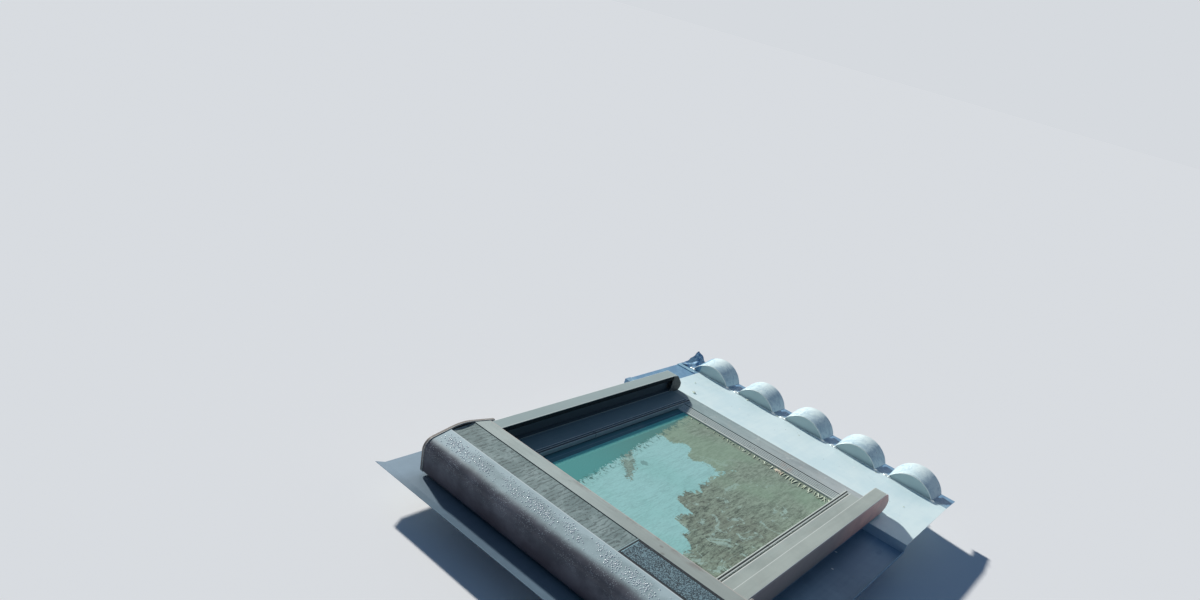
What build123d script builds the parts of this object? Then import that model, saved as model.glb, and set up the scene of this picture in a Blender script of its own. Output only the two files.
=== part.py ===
from build123d import *
import math
import os

os.makedirs("parts", exist_ok=True)

# Frame of the window, in millimetres above the battens and out from the middle
frame_width = 780.0
frame_length = 978.0
frame_depth = 105.0
frame_top = 48.0
stile_width = 69.0
rail_width = 42.0
lining_groove = 7.0
lining_depth = 8.0
lining_edge = 3.0
seal_thick = 2.0
seal_height = 8.0
seal_under = 3.0

# Sash and its glass
sash_gap = 7.0
sash_end_gap = 6.0
sash_stile = 34.0
sash_foot = 70.0
sash_head = 51.0
sash_under = 8.0
sash_chamfer = 6.0
glass_seat = 12.0
glazing_tape = 3.0
inner_pane_thick = 6.0
pane_gap = 16.0
outer_pane_thick = 4.0
pane_side_gap = 5.0
pane_foot_lap = 26.0
pane_head_lap = 36.0
spacer_width = 12.0
spacer_inset = 4.0
tape_width = 14.0

# Aluminium covers
cover_rise = 8.0
cover_sheet = 1.5
bar_width = 12.0
bar_over_glass = 2.0
bar_proud = 2.0
bar_groove = 1.0
bar_end_lap = 19.0
bar_end_height = 5.0
bar_joint = 77.0
flange_drop = 14.0
gap_width = 5.0
side_cover_over = 23.5
foot_cover_out = 12.0
foot_cover_lap = 33.0
foot_cover_rise = 2.4
foot_cover_drop = 12.4
sash_foot_out = 23.0
sash_foot_step = 2.0
bead_start = 25.0
bead_reach = 16.0
bead_high = 4.0
bead_thick = 3.0
bead_leg = 2.0
bead_round = 3.0
joint_width = 4.0
joint_depth = 2.0
rib_count = 4
rib_pitch = 7.0
rib_width = 2.0
rib_depth = 0.8
head_deep = 6.0
head_cover_reach = 28.0
sheet_clear = 0.6

# Pivots, bolt, lock and control bar
pivot_height = 2.0
pivot_radius = 6.0
stud_plate_long = 60.0
stud_plate_high = 24.0
stud_plate_thick = 2.5
pivot_plate_thick = 2.5
pivot_plate_long = 90.0
pivot_plate_high = 34.0
pivot_reach = 9.0
pivot_well = 2.0
fit = 0.05
bolt_radius = 4.0
bolt_low = 7.5
bolt_from_head = 120.0
bolt_stroke = 16.0
bolt_long = 68.0
knob_radius = 7.5
knob_long = 12.0
guide_long = 12.0
guide_half = 9.0
guide_plate = 30.0
guide_sheet = 2.5
tip_back = 1.0
lock_width = 70.0
lock_deep = 36.0
lock_high = 12.0
latch_width = 14.0
latch_high = 5.0
latch_long = 32.0
latch_back = 1.0
latch_stroke = 9.0
latch_play = 0.3
striker_thick = 2.0
striker_width = 60.0
striker_high = 16.0
vent_end_gap = 70.0
vent_high = 12.0
vent_above = 24.0
bar_end_gap = 40.0
bar_axis_out = 9.0
bar_axis_up = 5.0
bar_pin = 3.0
flap_thick = 3.0
flap_high = 42.0
flap_clear = 0.5
grip_wide = 20.0
grip_high = 13.0
grip_out = 8.0
grip_drop = 5.0
open_angle = 55.0
ear_thick = 5.0
ear_radius = 8.0

# Brackets on the battens
bracket_out = 40.0
bracket_inset = 139.0
bracket_sheet = 2.0
bracket_wide = 50.0
bracket_rise = 42.0
bracket_end = 14.0
bracket_hole = 3.0
screw_radius = 3.0
screw_head = 6.5
screw_head_thick = 4.0
screw_long = 40.0
screw_up = 24.0

# Zinc flashing
zinc = 1.2
apron_top = 36.0
pan_top = 6.0
apron_reach = 274.0
apron_side = 155.0
fold_side = 66.0
fold_drop = 3.0
fold_back = 30.0
wing_back = 100.0
upstand_gap = 20.0
apron_lap = 1.0
upstand_drop = 1.2
gutter_left_side = 155.0
gutter_right_side = 130.0
upstand_rise = 4.0
welt_height = 9.0
back_pan = 205.0
back_rise = 34.0
back_lift = 12.0
hump_pitch = 206.0
hump_shift = -3.0
hump_width = 158.0
hump_high = 46.0
hump_climb = 14.0
hump_long = 88.0
valley_long = 108.0
valley_dip = 8.0

# Guide rails of the shutter
rail_out = 35.0
rail_flange = 40.5
rail_high = 62.0
rail_sheet = 2.0
rail_channel = 20.5
rail_skirt = 12.0
rail_start = 48.0
rail_nose = 2.0
rail_end_gap = 5.0
nose_top_back = 42.0
nose_top_drop = 40.0
nose_low_back = 29.0
nose_low_rise = 12.0
nose_crown = 44.0
nose_brow = 24.0
nose_chin = 16.0
nose_heel = 40.0
brush_thick = 2.0
brush_high = 15.0

# Shutter box
box_over = 1.0
box_sheet = 1.5
box_front = 60.0
box_back = 171.5
box_front_over = 2.5
box_crest_rise = 17.5
box_crest_in = 45.0
box_back_fall = 27.5
box_crest_radius = 200.0
box_back_radius = 30.0
box_low_radius = 8.0
box_heel = 14.0
box_bottom = 16.0
box_lip = 16.0
recess_start = 4.0
recess_long = 84.0
recess_deep = 4.0
cap_thick = 7.0
cap_groove = 2.0
cap_proud = 1.5
cap_front = 19.0
cap_plug = 10.0
cap_inset = 0.3
cap_skirt = 44.0
panel_end_gap = 22.0
panel_long = 254.0
panel_thick = 3.4
panel_rim = 7.0
panel_glass = 1.6
panel_gap = 1.0
base_shelf = 2.0

# Roller, curtain and end bar
roll_in = 88.0
roll_rise = 14.0
tube_radius = 20.0
tube_wall = 1.5
tube_end_gap = 24.0
tube_plug = 10.0
idler_pin = 5.0
idler_size = 40.0
motor_slack = 1.0
motor_long = 330.0
motor_crown = 14.0
slat_thick = 6.6
slat_pitch = 7.4
slats_per_turn = 10
curtain_turns = 2.75
curtain_side_gap = 4.5
curtain_clear = 0.4
glide_gap = 0.3
glide_long = 12.0
end_bar_deep = 36.0
end_bar_high = 14.0
end_bar_rise = 10.0
end_bar_back = 26.0
end_bar_wall = 2.0
battery_long = 240.0
battery_deep = 16.0
battery_high = 24.0
battery_end_gap = 126.0
battery_back = 11.0
battery_round = 5.0

# Derived positions
half = frame_width / 2
front = -frame_length / 2
back = frame_length / 2
frame_low = frame_top - frame_depth
cover_top = frame_top + cover_rise
foot_cover_top = frame_top + foot_cover_rise
stile_in = half - stile_width
foot_in = front + rail_width
head_in = back - rail_width
sash_half = stile_in - sash_gap
sash_front = foot_in + sash_end_gap
sash_back = head_in - sash_end_gap
sash_low = frame_low + sash_under
sash_in = sash_half - sash_stile
foot_edge = sash_front + sash_foot
head_edge = sash_back - sash_head
pane_half = sash_half - pane_side_gap
pane_front = foot_edge - pane_foot_lap
pane_back = head_edge + pane_head_lap
inner_low = glass_seat + glazing_tape
inner_high = inner_low + inner_pane_thick
outer_low = inner_high + pane_gap
outer_high = outer_low + outer_pane_thick
bar_out = sash_half + bar_proud
bar_in = bar_out - bar_width
bar_low = outer_high + bar_over_glass
bar_front = sash_front - bar_end_lap
cover_in = bar_out + gap_width
cover_out = half + side_cover_over
side_cover_drop = apron_top + sheet_clear
foot_line = front - foot_cover_out
cover_start = front + foot_cover_lap
sash_foot_line = sash_front - sash_foot_out
sash_foot_top = foot_cover_top + sash_foot_step
bead_line = sash_front + bead_start - sash_end_gap
bead_end = pane_front + bead_reach
rail_outer = half + rail_out
rail_inner = rail_outer - rail_flange
rail_web = rail_outer - rail_channel
rail_front = front + rail_start
rail_back = back - rail_end_gap
rail_top = cover_top + rail_high
hole_x = half + bracket_out
hole_y = back - bracket_inset
box_half = rail_outer + box_over
box_front_top = rail_top + box_front_over
box_crest = box_front_top + box_crest_rise
box_back_top = box_crest - box_back_fall
box_face = back - box_front
box_rear = back + box_back
panel_end = panel_end_gap - box_half
panel_split = panel_end + panel_long
roll_y = back + roll_in
roll_height = cover_top + roll_rise
curtain_half = rail_web - rail_sheet - curtain_side_gap
end_bar_low = cover_top + end_bar_rise
bar_half = sash_in - bar_end_gap
bar_axis_y = head_edge - bar_axis_out
bar_axis_z = sash_low + bar_axis_up
bolt_y = sash_back - bolt_from_head
bolt_z = sash_low + bolt_low
wing_end = front + wing_back
apron_half = half + apron_side
fold_at = half + fold_side
gutter_in = half + upstand_gap
gutter_left = half + gutter_left_side
gutter_right = half + gutter_right_side
gutter_upstand = apron_top + upstand_rise
apron_low = apron_top - zinc
pan_low = pan_top - zinc
hump_line = front - apron_reach
hump_count = int(apron_half * 2 / hump_pitch)

nodes = {}


def block(x0, x1, y0, y1, z0, z1):
    middle = Pos((x0 + x1) / 2, (y0 + y1) / 2, (z0 + z1) / 2)
    return middle * Box(x1 - x0, y1 - y0, z1 - z0)


def corner(before, here, after, radius):
    ax, ay = before[0] - here[0], before[1] - here[1]
    bx, by = after[0] - here[0], after[1] - here[1]
    la, lb = math.hypot(ax, ay), math.hypot(bx, by)
    ax, ay, bx, by = ax / la, ay / la, bx / lb, by / lb
    half_angle = math.acos(ax * bx + ay * by) / 2
    reach = radius / math.tan(half_angle)
    mx, my = ax + bx, ay + by
    lm = math.hypot(mx, my)
    deep = radius / math.sin(half_angle) - radius
    start = (here[0] + ax * reach, here[1] + ay * reach)
    middle = (here[0] + mx / lm * deep, here[1] + my / lm * deep)
    end = (here[0] + bx * reach, here[1] + by * reach)
    return start, middle, end


def closed_face(points, place):
    edges = []
    count = len(points)
    stops = []
    for i, point in enumerate(points):
        radius = point[2] if len(point) > 2 else 0
        if radius:
            stops.append(corner(points[i - 1], point, points[(i + 1) % count], radius))
        else:
            stops.append((point, None, point))
    for i, (start, middle, end) in enumerate(stops):
        if middle:
            arc = (place(*start[:2]), place(*middle), place(*end[:2]))
            edges.append(Edge.make_three_point_arc(*arc))
        target = stops[(i + 1) % count][0]
        edges.append(Edge.make_line(place(*end[:2]), place(*target[:2])))
    return Face(Wire(edges))


def across(points, x0, x1):
    face = closed_face(points, lambda y, z: Vector(x0, y, z))
    return extrude(face, amount=x1 - x0, dir=(1, 0, 0))


def along(points, y0, y1):
    face = closed_face(points, lambda x, z: Vector(x, y0, z))
    return extrude(face, amount=y1 - y0, dir=(0, 1, 0))


def upright(points, z0, z1):
    face = closed_face(points, lambda x, y: Vector(x, y, z0))
    return extrude(face, amount=z1 - z0, dir=(0, 0, 1))


def rod_x(x0, x1, y, z, radius):
    turned = Pos((x0 + x1) / 2, y, z) * Rot(0, 90, 0)
    return turned * Cylinder(radius, x1 - x0)


def rod_z(x, y, z0, z1, radius):
    return Pos(x, y, (z0 + z1) / 2) * Cylinder(radius, z1 - z0)


def hexagon_x(x0, x1, y, z, radius):
    turned = Pos(x0, y, z) * Rot(0, 90, 0)
    return turned * extrude(RegularPolygon(radius, 6), amount=x1 - x0)


def flip(part):
    return mirror(part, about=Plane.YZ)


def pair(name, part):
    nodes[name + "_right"] = part
    nodes[name + "_left"] = flip(part)


# Wooden frame
def groove_low():
    return frame_low + lining_edge


def frame_side():
    body = block(stile_in, half, front, back, frame_low, frame_top)
    low = groove_low()
    body -= block(stile_in, stile_in + lining_depth, foot_in, head_in, low, low + lining_groove)
    well = stile_in + pivot_reach + pivot_well
    body -= rod_x(stile_in, well, 0, pivot_height, pivot_radius + pivot_well)
    for y in (-hole_y, hole_y):
        body -= rod_x(half - screw_long, half, y, screw_up, screw_radius + fit)
    return body


def frame_end(y_in, y_out):
    inward = 1 if y_out > y_in else -1
    ys = sorted((y_in, y_out))
    body = block(-stile_in, stile_in, ys[0], ys[1], frame_low, frame_top)
    cut = sorted((y_in, y_in + inward * lining_depth))
    low = groove_low()
    return body - block(-stile_in, stile_in, cut[0], cut[1], low, low + lining_groove)


def frame_left():
    body = flip(frame_side())
    tip = sash_half - tip_back + bolt_stroke
    return body - rod_x(-tip - pivot_well, -stile_in, bolt_y, bolt_z, bolt_radius + fit)


def frame_head():
    body = frame_end(head_in, back)
    z0, z1 = latch_level()
    wide = latch_width / 2 + latch_play
    reach = head_in + latch_stroke + pivot_well
    return body - block(-wide, wide, head_in, reach, z0 - latch_play, z1 + latch_play)


def latch_level():
    z0 = sash_low - (lock_high + latch_high) / 2
    return z0, z0 + latch_high


def frame_seal():
    low = pivot_height - pivot_plate_high / 2 - seal_height - seal_under
    outer = block(-stile_in, stile_in, foot_in, head_in, low, low + seal_height)
    x, y0, y1 = stile_in - seal_thick, foot_in + seal_thick, head_in - seal_thick
    return outer - block(-x, x, y0, y1, low, low + seal_height)


def striker_plate():
    low, high = frame_low, frame_low + striker_high
    plate = block(-striker_width / 2, striker_width / 2, head_in - striker_thick, head_in, low, high)
    z0, z1 = latch_level()
    wide = latch_width / 2 + latch_play
    cut = block(-wide, wide, head_in - striker_thick, head_in, z0 - latch_play, z1 + latch_play)
    return plate - cut


def pivot_plate():
    x0, x1 = stile_in - pivot_plate_thick, stile_in
    long, high = pivot_plate_long / 2, pivot_plate_high / 2
    z = pivot_height
    plate = block(x0, x1, -long, long, z - high, z + high)
    plate -= rod_x(x0, x1, 0, z, pivot_radius + fit)
    return plate


# Covers of the frame
def frame_cover_side():
    y0, y1 = cover_start, box_face + box_lip
    sheet, top = cover_sheet, cover_top
    points = [
        (cover_in, frame_top),
        (cover_in, top),
        (cover_out, top),
        (cover_out, side_cover_drop),
        (cover_out - sheet, side_cover_drop),
        (cover_out - sheet, top - sheet),
        (half - sheet, top - sheet),
        (half - sheet, frame_top),
        (half - sheet * 2, frame_top),
        (half - sheet * 2, top - sheet),
        (cover_in + sheet, top - sheet),
        (cover_in + sheet, frame_top),
    ]
    return along(points, y0, y1)


def frame_cover_foot():
    y0, y1 = foot_line, cover_start
    sheet, top = cover_sheet, foot_cover_top
    points = [
        (y0, top - foot_cover_drop),
        (y0, top, sheet),
        (y1, top),
        (y1, frame_top),
        (y1 - sheet, frame_top),
        (y1 - sheet, top - sheet),
        (y0 + sheet, top - sheet),
        (y0 + sheet, top - foot_cover_drop),
    ]
    return across(points, -cover_out, cover_out)


# Sash members, with the vent slot and the bore of the bolt
def sash_side():
    points = [
        (sash_half, sash_low),
        (sash_half, glass_seat),
        (sash_in, glass_seat),
        (sash_in, sash_low + sash_chamfer),
        (sash_in + sash_chamfer, sash_low),
    ]
    return along(points, sash_front, sash_back)


def sash_end(y_out, y_in):
    turn = 1 if y_in > y_out else -1
    points = [
        (y_out, sash_low),
        (y_out, glass_seat),
        (y_in, glass_seat),
        (y_in, sash_low + sash_chamfer),
        (y_in - turn * sash_chamfer, sash_low),
    ]
    return across(points, -sash_in, sash_in)


def sash_left():
    return flip(sash_side()) - rod_x(-sash_half, -sash_in, bolt_y, bolt_z, bolt_radius + fit)


def sash_top():
    low = sash_low + vent_above
    reach = sash_in - vent_end_gap
    slot = block(-reach, reach, head_edge, sash_back, low, low + vent_high)
    return sash_end(sash_back, head_edge) - slot


def glass_plate(low, high):
    return block(-pane_half, pane_half, pane_front, pane_back, low, high)


def ring(inset, width, low, high):
    x, y0, y1 = pane_half - inset, pane_front + inset, pane_back - inset
    outer = block(-x, x, y0, y1, low, high)
    return outer - block(width - x, x - width, y0 + width, y1 - width, low, high)


def sash_cover_side():
    drop = glass_seat - flange_drop
    sheet = bar_proud
    middle = (bar_in + bar_out) / 2
    points = [
        (bar_in, bar_low),
        (bar_in, cover_top, bar_groove),
        (middle - bar_groove, cover_top),
        (middle - bar_groove, cover_top - bar_groove),
        (middle, cover_top - bar_groove),
        (middle, cover_top),
        (bar_out, cover_top, bar_groove),
        (bar_out, drop),
        (bar_out - sheet, drop),
        (bar_out - sheet, bar_low),
    ]
    body = along(points, bar_front, sash_back)
    low = cover_top - bar_end_height
    body -= block(bar_in, bar_out, bar_front, sash_front, drop, low)
    long = stud_plate_long / 2 + pivot_well
    high = pivot_height + stud_plate_high / 2 + pivot_well
    body -= block(sash_half, bar_out, -long, long, drop, high)
    cut = bar_groove / 2
    body -= block(bar_in, bar_out, bar_joint - cut, bar_joint + cut, cover_top - cut, cover_top)
    r = bar_width / 2 - bar_groove
    x0, x1 = bar_in, bar_out
    plan = [(x0, bar_front, r), (x1, bar_front, r), (x1, sash_back), (x0, sash_back)]
    return body & upright(plan, drop, cover_top)


def bead_at(y):
    start, end = bead_line + joint_width, bead_end
    return sash_foot_top - (sash_foot_top - outer_high - bead_high) * (y - start) / (end - start)


def sash_cover_foot():
    width = bar_in - latch_play
    joint_end = bead_line + joint_width
    joint_floor = sash_foot_top - joint_depth
    under = frame_top + sheet_clear
    leg = pane_front - bead_leg
    points = [
        (sash_foot_line, foot_cover_top + sheet_clear),
        (sash_foot_line, sash_foot_top),
        (bead_line, sash_foot_top),
        (bead_line, joint_floor),
        (joint_end, joint_floor),
        (joint_end, sash_foot_top),
        (bead_end, bead_at(bead_end), bead_round),
        (bead_end, outer_high + sheet_clear),
        (leg, outer_high + sheet_clear),
        (leg, glass_seat),
        (leg - bead_leg, glass_seat),
        (leg - bead_leg, bead_at(leg - bead_leg) - bead_thick),
        (bead_line, under),
        (cover_start + sheet_clear, under),
        (cover_start + sheet_clear, foot_cover_top + sheet_clear),
    ]
    body = across(points, -width, width)
    for i in range(rib_count):
        y = joint_end + (i + 1) * rib_pitch - rib_width
        body -= block(-width, width, y, y + rib_width, bead_at(y + rib_width) - rib_depth, sash_foot_top)
    return body


def sash_cover_head():
    width = bar_in - latch_play
    y0 = sash_back - head_cover_reach
    leg = sash_back - cover_sheet
    low = cover_top - head_deep
    plate = block(-width, width, y0, sash_back, low, cover_top)
    plate += block(-width, width, y0, y0 + bead_leg, outer_high + sheet_clear, low)
    return plate + block(-width, width, leg, sash_back, glass_seat, low)


# Pivot studs, barrel bolt, lock and control bar
def pivot_stud():
    face = sash_half + stud_plate_thick
    long, high = stud_plate_long / 2, stud_plate_high / 2
    plate = block(sash_half, face, -long, long, pivot_height - high, pivot_height + high)
    return plate + rod_x(face, stile_in + pivot_reach, 0, pivot_height, pivot_radius)


def barrel_bolt():
    tip = sash_half - tip_back
    body = rod_x(-tip, bolt_long - tip, bolt_y, bolt_z, bolt_radius)
    inner = bolt_long - tip
    return body + rod_x(inner - knob_long / 2, inner + knob_long / 2, bolt_y, bolt_z, knob_radius)


def bolt_guide():
    x0, x1 = -sash_in, guide_long - sash_in
    high = bolt_z + guide_half
    boss = block(x0, x1, bolt_y - guide_half, bolt_y + guide_half, sash_low, high)
    long = guide_plate / 2
    flat = block(x0, x0 + guide_sheet, bolt_y - long, bolt_y + long, sash_low, high)
    return boss + flat - rod_x(x0, x1, bolt_y, bolt_z, bolt_radius + fit)


def lock_case():
    low = sash_low - lock_high
    wide = lock_width / 2
    case = block(-wide, wide, sash_back - lock_deep, sash_back, low, sash_low)
    z0, z1 = latch_level()
    slot = latch_width / 2 + latch_play
    play = latch_play
    return case - block(-slot, slot, sash_back - lock_deep, sash_back, z0 - play, z1 + play)


def lock_latch():
    z0, z1 = latch_level()
    end = sash_back - latch_back
    return block(-latch_width / 2, latch_width / 2, end - latch_long, end, z0, z1)


def control_bar():
    face = head_edge - flap_clear
    low, high = bar_axis_z, bar_axis_z + flap_high
    body = block(-bar_half, bar_half, face - flap_thick, face, low, high)
    body += block(-bar_half, bar_half, bar_axis_y, face, low - bar_pin, low + bar_pin)
    grip_y1 = bar_axis_y - grip_out
    grip_z1 = bar_axis_z - grip_drop
    r = grip_high / 2 - fit
    grip = [
        (grip_y1 - grip_wide, grip_z1 - grip_high, r),
        (grip_y1 - grip_wide, grip_z1, r),
        (grip_y1, grip_z1, r),
        (grip_y1, grip_z1 - grip_high, r),
    ]
    body += across(grip, -bar_half, bar_half)
    arm = [
        (bar_axis_y + bar_pin, bar_axis_z - bar_pin),
        (bar_axis_y + bar_pin, bar_axis_z + bar_pin),
        (bar_axis_y - bar_pin, bar_axis_z + bar_pin),
        (grip_y1 - grip_wide / 2, grip_z1 - grip_high / 2),
        (grip_y1, grip_z1 - grip_high / 2),
    ]
    body += across(arm, -bar_half, bar_half)
    reach = bar_half + ear_thick + flap_clear
    body += rod_x(-reach, reach, bar_axis_y, bar_axis_z, bar_pin)
    axis = Axis((0, bar_axis_y, bar_axis_z), (1, 0, 0))
    return body.rotate(axis, open_angle)


def bar_bracket():
    x0 = bar_half + flap_clear
    x1 = x0 + ear_thick
    points = [
        (head_edge, bar_axis_z - ear_radius),
        (head_edge, bar_axis_z + ear_radius),
        (bar_axis_y - ear_radius, bar_axis_z + ear_radius, ear_radius - fit),
        (bar_axis_y - ear_radius, bar_axis_z - ear_radius, ear_radius - fit),
    ]
    body = across(points, x0, x1)
    return body - rod_x(x0, x1, bar_axis_y, bar_axis_z, bar_pin + fit)


# Brackets and their screws
def bracket():
    out = hole_x + bracket_end
    y0, y1 = -bracket_wide / 2, bracket_wide / 2
    sheet = bracket_sheet
    points = [
        (half, 0),
        (half, bracket_rise),
        (half + sheet, bracket_rise),
        (half + sheet, sheet, sheet),
        (out, sheet),
        (out, 0),
    ]
    body = along(points, y0, y1)
    body -= rod_x(half, half + sheet, 0, screw_up, screw_radius + fit)
    return body - rod_z(hole_x, 0, 0, sheet, bracket_hole)


def bracket_screws():
    screws = []
    face = half + bracket_sheet
    for y in (-hole_y, hole_y):
        body = rod_x(half - screw_long, face, y, screw_up, screw_radius)
        body += hexagon_x(face, face + screw_head_thick, y, screw_up, screw_head)
        screws += [body, flip(body)]
    return Compound(children=[s.solid() for s in screws])


# Zinc apron with the raised caps over the crowns of the tiles
def hump_solid(middle, inset):
    high = hump_high - inset
    wide = hump_width / 2 - inset
    radius = (wide * wide + high * high) / (2 * high)
    y0, y1 = hump_line - inset, hump_line - hump_long
    slant = math.degrees(math.atan(hump_climb / hump_long))
    centre = Pos(middle, y0, apron_low + high - radius) * Rot(90 - slant, 0, 0)
    top = apron_low + hump_high + hump_climb + zinc
    region = block(middle - hump_width, middle + hump_width, y1, y0, apron_low, top)
    return region & (centre * Cylinder(radius, hump_long * 3))


def hump(middle):
    return hump_solid(middle, 0) - hump_solid(middle, zinc)


def valley(x0, x1):
    y1, y0 = hump_line + apron_lap, hump_line - valley_long
    drop = valley_dip
    points = [
        (y1, apron_low),
        (y1, apron_top),
        (hump_line, apron_top),
        (y0, apron_top - drop),
        (y0, apron_low - drop),
        (hump_line, apron_low),
    ]
    return across(points, x0, x1)


def apron():
    body = block(-apron_half, apron_half, hump_line - apron_lap, front, apron_low, apron_top)
    rise = foot_cover_top - cover_sheet - upstand_drop
    body += block(-half, half, front - zinc, front, apron_low, rise)
    for side in (-1, 1):
        xs = sorted((side * gutter_in, side * apron_half))
        body += block(xs[0], xs[1], front - apron_lap, wing_end, apron_low, apron_top)
        body += block(xs[0], xs[1], wing_end - zinc, wing_end, pan_top, apron_top)
        up = sorted((side * gutter_in, side * (gutter_in + zinc)))
        body += block(up[0], up[1], front, wing_end, apron_low, gutter_upstand)
    edge = -apron_half
    for i in range(hump_count):
        middle = (i - (hump_count - 1) / 2) * hump_pitch + hump_shift
        body += hump(middle)
        side = hump_width / 2 - zinc
        body += valley(edge, middle - side)
        edge = middle + side
    body += valley(edge, apron_half)
    y0, y1 = hump_line + fold_back, wing_end - fold_back
    low, high = apron_low - fold_drop, apron_top - fold_drop
    body -= block(fold_at, apron_half, y0, y1, apron_low, apron_top)
    body += block(fold_at, apron_half, y0, y1, low, high)
    rims = block(fold_at, apron_half, y0, y1, low, apron_top)
    return body + rims - block(fold_at + zinc, apron_half, y0 + zinc, y1 - zinc, high, apron_top)


def side_gutter(reach):
    t = zinc
    points = [
        (gutter_in, gutter_upstand),
        (gutter_in + t, gutter_upstand),
        (gutter_in + t, pan_top),
        (reach - t, pan_top),
        (reach - t, pan_top + welt_height),
        (reach, pan_top + welt_height),
        (reach, pan_low),
        (gutter_in, pan_low),
    ]
    return along(points, wing_end, back - apron_lap)


def back_gutter():
    y0 = back
    flat = y0 + back_pan
    rear = flat + back_rise
    points = [
        (y0, pan_low),
        (y0, pan_top),
        (flat, pan_top),
        (rear, pan_top + back_lift),
        (rear, pan_low + back_lift),
        (flat, pan_low),
    ]
    body = across(points, -gutter_left, gutter_right)
    return body + block(-gutter_in, gutter_in, y0, y0 + zinc, pan_low, gutter_upstand)


# Guide rails
def guide_rail():
    t = rail_sheet
    floor = cover_top
    web = rail_web
    outer = [
        (rail_inner, rail_top),
        (rail_outer, rail_top, t),
        (rail_outer, rail_skirt_low()),
        (rail_outer - t, rail_skirt_low()),
        (rail_outer - t, floor),
        (rail_inner + t, floor),
        (rail_inner + t, floor + t),
        (web - t, floor + t),
        (web - t, rail_top - t),
        (rail_inner, rail_top - t),
    ]
    body = along(outer, rail_front, rail_back)
    hollow = block(web, rail_outer - t, rail_front, rail_back, floor + t, rail_top - t)
    return body - hollow


def rail_skirt_low():
    return cover_top - rail_skirt


def nose(inset):
    tip = foot_line - rail_nose + inset
    low, high = rail_skirt_low() + inset, rail_top - inset
    tighter = inset * 2
    points = [
        (rail_front, low),
        (rail_front, high),
        (tip + nose_top_back, high, nose_crown - tighter),
        (tip, high - nose_top_drop, nose_brow - tighter),
        (tip, low + nose_low_rise, nose_chin - tighter),
        (tip + nose_low_back, low, nose_heel - tighter),
    ]
    return across(points, rail_inner + inset, rail_outer - inset)


def rail_cap():
    low = rail_skirt_low()
    over_foot = foot_cover_top + sheet_clear
    over_side = cover_top + sheet_clear
    side = cover_out + sheet_clear
    body = nose(0) - nose(rail_sheet)
    body -= block(rail_inner, side, foot_line - sheet_clear, rail_front, low, over_foot)
    return body - block(rail_inner, side, cover_start - sheet_clear, rail_front, low, over_side)


def rail_brush():
    high = rail_top - rail_sheet
    x0 = rail_inner + sheet_clear
    return block(x0, x0 + brush_thick, rail_front, rail_back, high - brush_high, high)


# Shutter box
def box_outline(grow, face):
    slope = (box_crest - box_front_top) / (box_front + box_crest_in)
    start = box_front_top + slope * (face - box_face)
    low = box_bottom - grow
    rear = box_rear + grow
    return [
        (face, low),
        (face, start + grow),
        (back + box_crest_in, box_crest + grow, box_crest_radius),
        (rear, box_back_top + grow, box_back_radius + grow),
        (rear - box_heel, low, box_low_radius + grow),
    ]


def recess(shift, widen):
    y0, y1 = back + recess_start - widen, back + recess_start + recess_long + widen
    z0, z1 = top_at(y0) - recess_deep - shift, top_at(y1) - recess_deep - shift
    sky = box_crest + box_crest_in
    return across([(y0, z0), (y0, sky), (y1, sky), (y1, z1)], -box_half, box_half)


def top_at(y):
    crest_y = back + box_crest_in
    rise = (box_crest - box_front_top) / (box_front + box_crest_in)
    fall = (box_crest - box_back_top) / (box_back - box_crest_in)
    turn = (math.atan(rise) + math.atan(fall)) / 2
    reach = box_crest_radius * math.tan(turn)
    if y < crest_y:
        straight = box_crest - rise * (crest_y - y)
    else:
        straight = box_crest - fall * (y - crest_y)
    near = max(0.0, reach - abs(y - crest_y))
    return straight - near * near / (2 * box_crest_radius)


def shutter_casing():
    t = box_sheet
    body = across(box_outline(0, box_face), -box_half, box_half) - recess(0, 0)
    hollow = across(box_outline(-t, box_face + t), -box_half, box_half) - recess(t, t)
    body -= hollow
    body -= block(-box_half, box_half, box_face, box_rear - box_heel, box_bottom, box_bottom + t)
    deep = box_front_top - box_lip
    body -= block(-box_half, box_half, box_face, box_face + t, box_bottom, deep)
    for side in (-1, 1):
        xs = sorted((side * (rail_inner - sheet_clear), side * box_half))
        high = rail_top + sheet_clear
        body -= block(xs[0], xs[1], box_face, box_face + t, box_bottom, high)
    return body


def casing_base():
    t = box_sheet
    shelf = frame_top + base_shelf
    y0 = head_in
    y1 = back + recess_start
    y2 = box_rear - box_heel - box_low_radius
    points = [
        (y0, shelf),
        (y0, shelf + t),
        (y1 + t, shelf + t),
        (y1 + t, box_bottom + t),
        (y2, box_bottom + t),
        (y2, box_bottom),
        (y1, box_bottom),
        (y1, shelf),
    ]
    wide = box_half - cap_plug - cap_inset
    body = across(points, -wide, wide)
    return body + block(-half, half, head_in + t, head_in + t * 2, frame_top, shelf)


def casing_end():
    x0, x1 = box_half + cap_groove, box_half + cap_groove + cap_thick
    face = box_face - cap_front
    outline = box_outline(cap_proud, face)
    outline[0] = (face, cap_skirt)
    outline.append((back + recess_start, box_bottom - cap_proud))
    body = across(outline, x0, x1)
    t = box_sheet + cap_inset
    plug_front = rail_back + sheet_clear
    plug = box_outline(-t, plug_front)
    plug_body = across(plug, box_half - cap_plug, x0)
    plug_body -= across(box_outline(-t * 2, plug_front + t), box_half - cap_plug, x0 - cap_groove)
    plug_body -= recess(t, t)
    return body + plug_body


def recess_strip(x0, x1, low, high):
    y0 = back + recess_start + cap_inset
    y1 = back + recess_start + recess_long - cap_inset
    z0, z1 = top_at(y0) - recess_deep, top_at(y1) - recess_deep
    points = [(y0, z0 + low), (y0, z0 + high), (y1, z1 + high), (y1, z1 + low)]
    return across(points, x0, x1)


def recess_cover():
    end = box_half - cap_inset
    return recess_strip(panel_split + panel_gap, end, 0, panel_thick - panel_glass)


def solar_frame():
    body = recess_strip(panel_end, panel_split, 0, panel_thick)
    return body - panel_face(0)


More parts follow.
